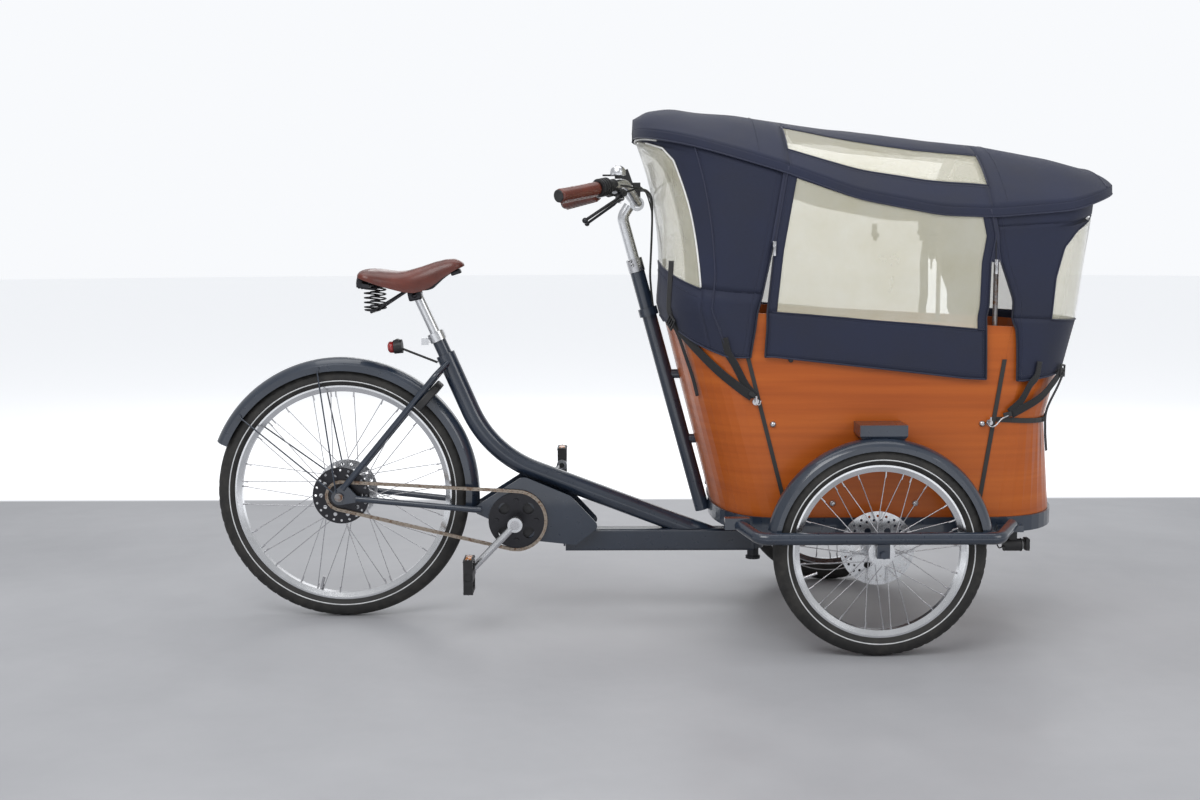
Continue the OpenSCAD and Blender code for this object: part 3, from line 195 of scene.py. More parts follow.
def paint(name, color, rough=0.3, coat=0.7):
    g = Look(name, Coat_Weight=coat, Coat_Roughness=0.06)
    dust = g.noise(9, 5)
    g.set(Base_Color=g.ramp(dust, (0.3, color), (0.75, tuple(c * 1.35 + 0.004 for c in color))),
          Roughness=g.ramp(g.noise(60, 4), (0.3, rough * 0.85), (0.8, rough * 1.35)))
    g.bump(g.noise(420, 2), 0.05, 0.0004)
    return g.m


def plastic(name, color, rough=0.45, grain=0.25):
    g = Look(name)
    g.set(Base_Color=g.ramp(g.noise(30, 4), (0.3, color), (0.8, tuple(c * 1.6 + 0.003 for c in color))),
          Roughness=g.ramp(g.noise(45, 3), (0.3, rough), (0.8, rough + 0.12)))
    g.bump(g.noise(1500, 2), grain, 0.0003)
    return g.m


def metal(name, color, rough=0.28, brushed=(40, 40, 40), strength=0.12, spots=0.0):
    g = Look(name, Metallic=1.0)
    streak = g.noise(12, 4, co=g.stretched(brushed))
    base = g.ramp(g.noise(14, 5), (0.25, tuple(c * 0.82 for c in color)), (0.7, color))
    if spots:
        g.set(Metallic=g.ramp(g.noise(70, 6, 0.7), (0.5, 1.0), (0.5 + spots, 0.35)))
        base = g.mix(g.ramp(g.noise(70, 6, 0.7), (0.5, 0.0), (0.5 + spots, 1.0)), base, (0.16, 0.075, 0.035))
    g.set(Base_Color=base, Roughness=g.ramp(streak, (0.25, rough * 0.8), (0.75, rough * 1.4)))
    g.bump(streak, strength, 0.0002)
    return g.m


def wood(name, edge_on=False):
    """Varnished okoume ply with the grain lying level round the box."""
    g = Look(name, Coat_Weight=0.12, Coat_Roughness=0.2, Specular_IOR_Level=0.25)
    # large soft noise that places a painted highlight on the ply
    painted_highlight = g.noise(2.2, 2)
    grain = g.noise(3, 4, 0.5, co=g.stretched((0.5, 0.5, 15)), distortion=0.1)
    fine = g.noise(10, 5, 0.6, co=g.stretched((5, 5, 160)))
    pores = g.noise(14, 3, 0.5, co=g.stretched((9, 9, 420)))
    col = g.ramp(grain, (0.3, (0.36, 0.073, 0.008)), (0.5, (0.43, 0.092, 0.01)), (0.72, (0.5, 0.118, 0.013)))
    col = g.mix(g.ramp(fine, (0.35, 0.12), (0.65, 0.0)), col, (0.27, 0.06, 0.013))
    col = g.mix(g.ramp(pores, (0.28, 0.22), (0.42, 0.0)), col, (0.22, 0.05, 0.012))
    # painted highlight: these patches are mixed towards a lighter orange
    col = g.mix(g.ramp(painted_highlight, (0.35, 0.0), (0.8, 0.12)), col, (0.6, 0.19, 0.03))
    g.set(Base_Color=col, Roughness=g.ramp(fine, (0.3, 0.42), (0.7, 0.32)))
    g.bump(pores, 0.18, 0.0003, g.bump(fine, 0.06, 0.0005))
    return g.m


def leather(name, color=(0.17, 0.03, 0.011), grain=420.0):
    g = Look(name, Coat_Weight=0.35, Coat_Roughness=0.22)
    cell = g.cells(grain, feature="DISTANCE_TO_EDGE")
    tone = g.noise(16, 5, 0.6)
    col = g.ramp(tone, (0.28, tuple(c * 0.62 for c in color)), (0.55, color), (0.8, tuple(c * 1.5 for c in color)))
    col = g.mix(g.ramp(cell, (0.0, 0.35), (0.12, 0.0)), col, tuple(c * 0.4 for c in color))
    g.set(Base_Color=col, Roughness=g.ramp(g.noise(38, 4), (0.3, 0.3), (0.75, 0.48)))
    g.bump(g.noise(60, 5), 0.12, 0.001, g.bump(g.ramp(cell, (0.0, 0.0), (0.2, 1.0)), 0.25, 0.0003))
    return g.m


def cloth(name, color, weave=900.0, sheen=0.25, coat=0.08, rough=0.62):
    g = Look(name, Sheen_Weight=sheen, Sheen_Roughness=0.45, Coat_Weight=coat, Coat_Roughness=0.35)
    wx, wz = g.wave(weave / 3.14, "X"), g.wave(weave / 3.14, "Z")
    threads = g.math("MULTIPLY", g.math("ADD", wx, wz), g.math("ADD", g.wave(weave / 3.14, "Y"), 0.6))
    tone = g.noise(7, 5, 0.6)
    slub = g.noise(160, 3, co=g.stretched((1, 1, 6)))
    col = g.ramp(tone, (0.3, tuple(c * 0.8 for c in color)), (0.72, tuple(c * 1.25 for c in color)))
    col = g.mix(g.ramp(slub, (0.4, 0.0), (0.75, 0.2)), col, tuple(c * 1.8 + 0.004 for c in color))
    g.set(Base_Color=col, Roughness=g.ramp(tone, (0.3, rough), (0.7, rough + 0.1)))
    g.bump(g.noise(22, 3), 0.12, 0.003, g.bump(threads, 0.22, 0.0002))
    return g.m


def rubber(name, color=(0.017, 0.0165, 0.016), rough=0.62, dust=0.5):
    g = Look(name)
    worn = g.noise(26, 6, 0.65)
    g.set(Base_Color=g.mix(g.ramp(worn, (0.45, 0.0), (0.75, dust)), color, (0.075, 0.07, 0.062)),
          Roughness=g.ramp(worn, (0.35, rough), (0.7, rough + 0.2)))
    g.bump(g.noise(900, 3), 0.25, 0.0003)
    return g.m


def vinyl(name):
    """Clear soft sheet, a little yellow, partly see-through."""
    g = Look(name, Alpha=0.34, Coat_Weight=1.0, Coat_Roughness=0.04, IOR=1.5)
    haze = g.noise(5, 4, 0.6)
    g.set(Base_Color=g.ramp(haze, (0.3, (0.8, 0.76, 0.56)), (0.7, (0.92, 0.9, 0.76))),
          Roughness=g.ramp(haze, (0.3, 0.07), (0.7, 0.16)))
    g.bump(g.noise(7, 3, distortion=1.2), 0.55, 0.012)
    return g.m


def lens(name, color, glow=0.0):
    g = Look(name, Transmission_Weight=0.35, Coat_Weight=1.0, Coat_Roughness=0.05, IOR=1.49)
    prism = g.cells(420, out="Distance")
    g.set(Base_Color=g.ramp(prism, (0.0, tuple(c * 0.55 for c in color)), (0.6, color)),
          Roughness=g.ramp(prism, (0.0, 0.12), (0.7, 0.3)))
    g.bump(prism, 0.5, 0.0012)
    return g.m


NAVY = (0.013, 0.021, 0.037)
TENT_NAVY = (0.0095, 0.0135, 0.036)
LOOK = {
    "paint": paint("frame_paint_look", NAVY),
    "black": plastic("black_plastic_look", (0.012, 0.012, 0.013)),
    "black_metal": metal("black_metal_look", (0.05, 0.05, 0.055), 0.34),
    "motor": plastic("motor_case_look", (0.016, 0.016, 0.018), 0.38, 0.4),
    "trim": rubber("seam_strip_look", (0.02, 0.019, 0.018), 0.5, 0.2),
    "alloy": metal("alloy_look", (0.72, 0.73, 0.75), 0.26),
    "rim": metal("rim_look", (0.74, 0.75, 0.77), 0.2, (25, 25, 25)),
    "steel": metal("steel_look", (0.56, 0.56, 0.58), 0.24),
    "dark_steel": metal("worn_steel_look", (0.34, 0.33, 0.33), 0.36, spots=0.12),
    "chain": metal("chain_look", (0.42, 0.36, 0.3), 0.42, spots=0.16),
    "wood": wood("varnished_ply_look"),
    "leather": leather("saddle_leather_look", (0.115, 0.016, 0.006)),
    "grip": leather("grip_leather_look", (0.115, 0.019, 0.007), 520),
    "tent": cloth("tent_cloth_look", TENT_NAVY, 900, 0.05, 0.03, 0.72),
    "seam": cloth("tent_seam_look", (0.012, 0.016, 0.042), 1500, 0.15),
    "piping": cloth("white_piping_look", (0.72, 0.72, 0.7), 1700, 0.1),
    "webbing": cloth("webbing_look", (0.012, 0.012, 0.013), 2400, 0.12, 0.0, 0.72),
    "cushion": cloth("cushion_cloth_look", (0.052, 0.058, 0.085), 1100, 0.3, 0.0, 0.8),
    "tyre": rubber("tyre_rubber_look"),
    "cable": rubber("cable_sleeve_look", (0.012, 0.012, 0.012), 0.4, 0.1),
    "vinyl": vinyl("clear_vinyl_look"),
    "red_lens": lens("red_lens_look", (0.55, 0.02, 0.02)),
    "amber_lens": lens("amber_lens_look", (0.85, 0.28, 0.03)),
    "clear_lens": lens("clear_lens_look", (0.85, 0.87, 0.88)),
}


def reflective():
    g = Look("reflective_band_look", Coat_Weight=0.3, Coat_Roughness=0.3)
    bead = g.cells(1400)
    g.set(Base_Color=g.ramp(g.noise(60, 4), (0.3, (0.55, 0.56, 0.57)), (0.75, (0.8, 0.81, 0.82))),
          Roughness=g.ramp(bead, (0.0, 0.3), (0.6, 0.55)))
    g.bump(bead, 0.3, 0.0003)
    return g.m


def screen():
    g = Look("display_glass_look", Coat_Weight=1.0, Coat_Roughness=0.03)
    tint = g.noise(24, 2)
    g.set(Base_Color=g.ramp(tint, (0.3, (0.01, 0.012, 0.014)), (0.7, (0.03, 0.036, 0.04))),
          Roughness=g.ramp(tint, (0.3, 0.08), (0.7, 0.14)))
    return g.m


LOOK["reflective"] = reflective()
LOOK["screen"] = screen()

NODE_LOOK = {
    "paint": "main_frame lower_beam rear_stays motor_cover rear_mudguard base_frame guard_bars "
             "front_mudguards handlebar_post",
    "black": "tail_light ring_lock headlight cockpit twist_shifter bell_lever pedal_right pedal_left",
    "black_metal": "saddle_frame chainring rear_sprocket kingpin brake_lever_right brake_lever_left",
    "motor": "motor_unit",
    "trim": "box_trim",
    "alloy": "rear_hub right_hub left_hub crank_arms seatpost seat_clamp stem handlebar",
    "rim": "rear_rim right_rim left_rim",
    "steel": "rear_spokes right_spokes left_spokes box_hardware crank_spindle",
    "dark_steel": "rear_axle tent_bows",
    "chain": "chain",
    "wood": "box_floor box_sides box_rear box_front bench",
    "leather": "saddle_top",
    "grip": "grips",
    "tent": "tent_roof tent_walls tent_doors",
    "vinyl": "tent_windows",
    "webbing": "tent_straps",
    "cushion": "cushions",
    "tyre": "rear_tyre right_tyre left_tyre",
}
for look, names in NODE_LOOK.items():
    for n in names.split():
        NODES[n].data.materials.clear()
        NODES[n].data.materials.append(LOOK[look])


# ---- mesh helpers ----
SCENE = bpy.context.scene.collection


def piece(name, verts, faces, look, body, replaces=(), smooth=True):
    """A mesh object from points in the bike's millimetres."""
    me = bpy.data.meshes.new(name)
    me.from_pydata([tuple(P(v)) for v in verts], [], faces)
    me.validate()
    o = bpy.data.objects.new(name, me)
    SCENE.objects.link(o)
    me.materials.append(LOOK[look])
    for p in me.polygons:
        p.use_smooth = smooth
    if body:
        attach(o, body)
    if replaces:
        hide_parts(*replaces)
    return o


class Parts:
    """Points and faces gathered into one mesh."""

    def __init__(self):
        self.v, self.f = [], []

    def add(self, verts, faces):
        k = len(self.v)
        self.v += [tuple(p) for p in verts]
        self.f += [tuple(i + k for i in f) for f in faces]

    def tube(self, path, r, sides=10, closed=False, caps=True, flat=1.0):
        """Tube along points; r is a number or one per point; flat squashes its second axis."""
        n = len(path)
        path = [Vector(p) for p in path]
        rs = [r] * n if isinstance(r, (int, float)) else r
        tang = []
        for i in range(n):
            a = path[(i - 1) % n] if closed or i else path[i]
            b = path[(i + 1) % n] if closed or i < n - 1 else path[i]
            tang.append((b - a).normalized())
        ref = V(0, 0, 1) if abs(tang[0].z) < 0.9 else V(1, 0, 0)
        u = (ref - tang[0] * ref.dot(tang[0])).normalized()
        verts = []
        for i in range(n):
            u = (u - tang[i] * u.dot(tang[i])).normalized()
            w = tang[i].cross(u)
            for k in range(sides):
                a = 2 * math.pi * k / sides
                verts.append(path[i] + (u * math.cos(a) + w * math.sin(a) * flat) * rs[i])
        faces = []
        for i in range(n if closed else n - 1):
            j = (i + 1) % n
            for k in range(sides):
                m = (k + 1) % sides
                faces.append((i * sides + k, i * sides + m, j * sides + m, j * sides + k))
        if caps and not closed:
            faces.append(tuple(reversed(range(sides))))
            faces.append(tuple((n - 1) * sides + k for k in range(sides)))
        self.add(verts, faces)
        return self

    def lathe(self, origin, axis, profile, n=24, start=0.0):
        """Turned solid: profile is (distance along axis, radius) from one end to the other."""
        axis = Vector(axis).normalized()
        ref = V(0, 0, 1) if abs(axis.z) < 0.9 else V(1, 0, 0)
        u = (ref - axis * ref.dot(axis)).normalized()
        w = axis.cross(u)
        o = Vector(origin)
        verts, faces = [], []
        for d, r in profile:
            for k in range(n):
                a = 2 * math.pi * k / n + start
                verts.append(o + axis * d + (u * math.cos(a) + w * math.sin(a)) * max(r, 0.01))
        for i in range(len(profile) - 1):
            for k in range(n):
                m = (k + 1) % n
                faces.append((i * n + k, i * n + m, (i + 1) * n + m, (i + 1) * n + k))
        faces.append(tuple(reversed(range(n))))
        faces.append(tuple((len(profile) - 1) * n + k for k in range(n)))
        self.add(verts, faces)
        return self

    def box(self, c, size, rot=None, bevel=0.12):
        """Box with cut corners all round, turned by rot about its middle."""
        rot = rot or Matrix.Identity(3)
        h = Vector(size) / 2
        b = min(h) * 2 * bevel
        bm = bmesh.new()
        bmesh.ops.create_cube(bm, size=1)
        for v in bm.verts:
            v.co = V(v.co.x * size[0], v.co.y * size[1], v.co.z * size[2])
        bmesh.ops.bevel(bm, geom=list(bm.edges), offset=b, segments=2, profile=0.6, affect="EDGES")
        bm.verts.ensure_lookup_table()
        self.add([rot @ v.co + Vector(c) for v in bm.verts], [[v.index for v in f.verts] for f in bm.faces])
        bm.free()
        return self

    def grid(self, rows, flip=False, wrap=False):
        n, m = len(rows), len(rows[0])
        faces = []
        for i in range(n - 1):
            for j in range(m if wrap else m - 1):
                k = (j + 1) % m
                q = (i * m + j, i * m + k, (i + 1) * m + k, (i + 1) * m + j)
                faces.append(q[::-1] if flip else q)
        self.add([p for r in rows for p in r], faces)
        return self

    def make(self, name, look, body, slot=None, replaces=(), smooth=True):
        return piece(name, self.v, self.f, look, body, replaces, smooth)


def modifier(o, kind, **props):
    m = o.modifiers.new(kind.lower(), kind)
    for k, v in props.items():
        setattr(m, k, v)
    return m


# ---- rain tent: the same surfaces as the CAD walls, with folds, seams, zips and windows ----
BOX_Y, REAR_BOW, BOX_Z = 305.0, 163.0, 318.0
CREASE_Z, CREASE_BOW, FRONT_BOW, FRONT_TOP_BOW = 556.0, 172.0, 232.0, 198.0
RIM_REAR_Z, RIM_FRONT_Z = 815.0, 778.0
TENT_N, BOW_N, TENT_Y, SKIRT_GAP = 2.3, 2.6, 332.0, 7.0
EAVE = ((-577, 1262), (-445, 1228), (-222, 1161), (-53, 1100), (142, 1062), (271, 1057), (456, 1072), (621, 1124))
RIDGE = ((-577, 1284), (-555, 1306), (-482, 1318), (0, 1258), (311, 1219), (459, 1195), (580, 1156), (621, 1126))
HEM = ((0, 792), (0.35, 775), (0.62, 738), (0.9, 706), (1, 706), (1.1, 708), (1.85, 655), (2.1, 648), (2.5, 662),
       (3, 668))
VISOR = 50.0


def table(t, x):
    i = 0
    while i < len(t) - 2 and x >= t[i + 1][0]:
        i += 1
    return lerp(t[i][1], t[i + 1][1], (x - t[i][0]) / (t[i + 1][0] - t[i][0]))


def smooth_table(t, x, reach=26.0):
    """The table with its corners rounded."""
    return sum(table(t, min(max(x + k * reach, t[0][0]), t[-1][0])) for k in (-1, -0.5, 0, 0.5, 1)) / 5


def rear_seam(z):
    return WHEELBASE - 211 - 0.258 * (z - BOX_Z)


def front_seam(z):
    return WHEELBASE + 252 + 0.151 * (z - BOX_Z)


def rim_z(x):
    slope = (RIM_REAR_Z - RIM_FRONT_Z) / (rear_seam(RIM_REAR_Z) - front_seam(RIM_FRONT_Z))
    return RIM_REAR_Z + slope * (x - rear_seam(RIM_REAR_Z))


def end_bow(z):
    if z < CREASE_Z:
        return lerp(CREASE_BOW, FRONT_BOW, (CREASE_Z - z) / (CREASE_Z - BOX_Z))
    return lerp(CREASE_BOW, FRONT_TOP_BOW, (z - CREASE_Z) / (RIM_FRONT_Z - CREASE_Z))


def level(u, z, rear, rear_bow, front, front_bow, half, n):
    """Plan curve round the tent: u 0 rear middle, 1 rear corner, 2 front corner, 3 front middle."""
    a, q, s = abs(u), 2 / n, (1 if u > 0 else -1 if u < 0 else 0)
    if 1 <= a <= 2:
        return V(lerp(rear, front, a - 1), s * half, z)
    t = a if a < 1 else 3 - a
    across, along = abs(math.sin(math.pi / 2 * t)) ** q, abs(math.cos(math.pi / 2 * t)) ** q
    x = rear - rear_bow * along if a < 1 else front + front_bow * along
    return V(x, s * half * across, z)


def skirt(u, z, g):
    return level(u, z, rear_seam(z), REAR_BOW + g, front_seam(z), end_bow(max(z, CREASE_Z)) + 6 + g, BOX_Y + g, BOW_N)


def wall_base(u, v, g=0.0):
    mid = skirt(u, 0, SKIRT_GAP + g)
    rim = skirt(u, rim_z(mid.x) + 14, SKIRT_GAP + g)
    if v < 1:
        return skirt(u, table(HEM, abs(u)), SKIRT_GAP + g).lerp(rim, v)
    flat = level(u, 0, WHEELBASE - 287, 288 + g, WHEELBASE + 396, 223 - VISOR + g, TENT_Y - 2 + g, TENT_N)
    top = V(flat.x, flat.y, smooth_table(EAVE, flat.x - WHEELBASE) - 3)
    push = 28 * max(0, 1 - u * u) * math.sin(math.pi * (v - 1))
    return rim.lerp(top, v - 1) + V(push, 0, 0)


def wall_normal(u, v):
    e = 0.01
    du = wall_base(u + e, v) - wall_base(u - e, v)
    dv = wall_base(u, min(v + e, 2)) - wall_base(u, max(v - e, 0))
    n = du.cross(dv).normalized()
    p = wall_base(u, v)
    out = V(p.x - WHEELBASE - 40, p.y * 2.2, 0)
    return n if n.dot(out) > 0 else -n


def folds(p, big=2.6, small=0.9):
    """Gentle folds of slack cloth, the same on every run."""
    q = V(p.x, p.y, p.z) / 1000
    return big * noise.noise(q * 5.2 + V(3, 1, 7)) + small * noise.noise(V(q.x * 17, q.y * 17, q.z * 9))


def wall_at(u, v, lift=0.0, big=2.6, small=0.9):
    p = wall_base(u, v)
    calm = min(1.0, (2 - v) / 0.12) * min(1.0, v / 0.1 + 0.35)
    return p + wall_normal(u, v) * (lift + max(-3.0, folds(p, big, small) * calm))


def knots(*pairs):
    return lambda x: table(pairs, x)


DOOR_L = knots((0, 1.071), (0.6, 1.1), (1, 1.114), (1.43, 1.1), (2, 1.1))
DOOR_R = knots((0, 1.93), (1.1, 1.894), (1.5, 1.853), (1.75, 1.842), (2, 1.795))
REAR_EDGE = knots((0, 1.016), (0.6, 1.058), (1.1, 1.087), (1.5, 1.096), (2, 1.098))
FRONT_EDGE = knots((0, 2.061), (0.81, 2.01), (1.16, 1.974), (1.5, 1.89), (1.72, 1.848), (2, 1.8))
REAR_WIN = knots((1, 0.76), (1.144, 0.734), (1.543, 0.615), (1.849, 0.52), (1.91, 0.44), (1.96, 0.0))
FRONT_WIN = knots((1, 2.22), (1.36, 2.18), (1.62, 2.2), (1.74, 2.3), (1.8, 2.5), (1.84, 3.0))
SEAM_U = knots((0, 0.9), (0.14, 0.895), (1.2, 0.85), (1.55, 0.774), (1.9, 0.70), (2, 0.675))
REAR_MIDDLE, CORNER_LAP, FRONT_MIDDLE = (knots((0, u), (2, u)) for u in (0.0, 0.755, 3.0))
ZIP_PULL_REAR, ZIP_PULL_FRONT = 1.47, 1.51
VINYL_T = 0.6
LEAST_FILL = 0.4  # a cut sheet fills at least this much of its length times width


def spread(lo, hi, n):
    return lambda v: steps(lo(v), hi(v), n)


def path_length(points):
    return sum((q - p).length for p, q in zip(points, points[1:]))


def flat_area(rows):
    total = 0.0
    for a, b in zip(rows, rows[1:]):
        for p, q, r, s in zip(a, a[1:], b[1:], b):
            total += ((q - p).cross(r - p).length + (r - p).cross(s - p).length) / 2
    return total / 1e6


def tent_cloth(name, rows, look="tent", replaces=(), flip=False, thickness=1.1):
    """A sheet of the tent from rows of points; the cut size that they give is worked out but not used."""
    slot = "clear_vinyl" if look == "vinyl" else "tent_cloth"
    o = Parts().grid(rows, flip).make(name, look, "front_frame", slot, replaces)
    modifier(o, "SOLIDIFY", thickness=thickness / 1000, offset=0)
    a = flat_area(rows)
    wide = max(path_length(r) for r in rows) / 1000
    tall = max(path_length(c) for c in zip(*rows)) / 1000
    tall = min(tall, a / LEAST_FILL / wide)


def tent_sheet(name, us, vs, **fold):
    """Cloth on the wall: us gives the row of u values at each height of vs."""
    tent_cloth(name, [[wall_at(u, v, **fold) for u in us(v)] for v in vs])


def both_ways(side, us):
    """u values for the right (-1) or left (+1) side."""
    return [side * u for u in (us if side > 0 else us[::-1])]


def mirrored(fn, side):
    return lambda v: both_ways(side, fn(v))


def strap_between(parts, path, normals, w, t):
    """Flat webbing along points, lying on its normals."""
    n = len(path)
    rows = []
    for i, (p, nn) in enumerate(zip(path, normals)):
        tan = (path[min(i + 1, n - 1)] - path[max(i - 1, 0)]).normalized()
        s = tan.cross(nn).normalized()
        rows.append([p + s * w * a + nn * t * b for a, b in
                     ((-0.5, 0.1), (-0.5, 0.9), (-0.42, 1), (0.42, 1), (0.5, 0.9), (0.5, 0.1), (0.42, 0), (-0.42, 0))])
    m = len(rows[0])
    parts.grid(rows, wrap=True)
    k = len(parts.v) - n * m
    parts.f.append(tuple(k + j for j in reversed(range(m))))
    parts.f.append(tuple(k + (n - 1) * m + j for j in range(m)))


def resample(points, step):
    """Points at even spacing along a polyline."""
    out, carry = [points[0]], 0.0
    for a, b in zip(points, points[1:]):
        d = (b - a).length
        x = step - carry
        while x <= d:
            out.append(a.lerp(b, x / d))
            x += step
        carry = (carry + d) % step
    return out


def stitches(parts, points, r=0.55, pitch=5.0, share=0.6):
    pts = resample(points, pitch)
    for a, b in zip(pts, pts[1:]):
        parts.tube([a, a.lerp(b, share * 0.5), a.lerp(b, share)], [r * 0.6, r, r * 0.6], 5)


def rim_line(fn, v0, v1, n, side, lift):
    return [wall_at(side * fn(v), v, lift) for v in steps(v0, v1, n)]


seams, stitch, binding, teeth, pulls, pipe = (Parts() for _ in range(6))


def win_low(u):
    """Height of the rear window's lower edge."""
    return lerp(1.25, 1.12, min(1, abs(u) / 0.74))


def win_bottom(u):
    """Height of a door window's lower edge."""
    return table(((1.1, 1.01), (1.142, 1.0), (1.515, 0.886), (1.918, 0.8), (2, 0.79)), u)


def window_left(v):
    return DOOR_L(v) + 0.028


def window_right(v):
    return DOOR_R(v) - 0.026


def tent_rear():
    across = steps(-0.76, 0.76, 44)
    tent_cloth("tent_rear_apron", [[wall_at(u, lerp(0, win_low(u), k / 12)) for u in across] for k in range(13)],
               replaces=("tent_walls",))
    rows = []
    for v in steps(1.12, 1.95, 26):
        w = max(REAR_WIN(v), 0.02)
        rows.append([wall_at(u, max(v, win_low(u)), 0.1, 3.4, 1.6) for u in steps(-w, w, 30)])
    tent_cloth("tent_rear_window", rows, "vinyl", ("tent_windows",), thickness=VINYL_T)


def tent_door(s, name):
    """Cloth apron, clear window and the bound edges of one door."""
    rows = [[wall_at(u, lerp(0, win_bottom(abs(u)), k / 10), 2.2)
             for u in both_ways(s, steps(DOOR_L(k / 10), DOOR_R(k / 12), 34))] for k in range(11)]
    tent_cloth(f"tent_door_apron_{name}", rows, replaces=("tent_doors",) if s < 0 else ())
    rows = [[wall_at(u, max(v, win_bottom(abs(u))), 2.0, 3.6, 1.8)
             for u in both_ways(s, steps(window_left(v), window_right(v), 34))] for v in steps(0.8, 1.955, 30)]
    tent_cloth(f"tent_door_window_{name}", rows, "vinyl", thickness=VINYL_T)
    for part, lo, hi, n, vs in (("edge_rear", DOOR_L, lambda v: window_left(v) + 0.006, 3, steps(0.98, 2.0, 18)),
                                ("edge_front", lambda v: window_right(v) - 0.006, DOOR_R, 3, steps(0.78, 2.0, 20)),
                                ("head", DOOR_L, DOOR_R, 30, steps(1.94, 2.0, 3))):
        tent_sheet(f"tent_door_{part}_{name}", mirrored(spread(lo, hi, n), s), vs, lift=2.6)


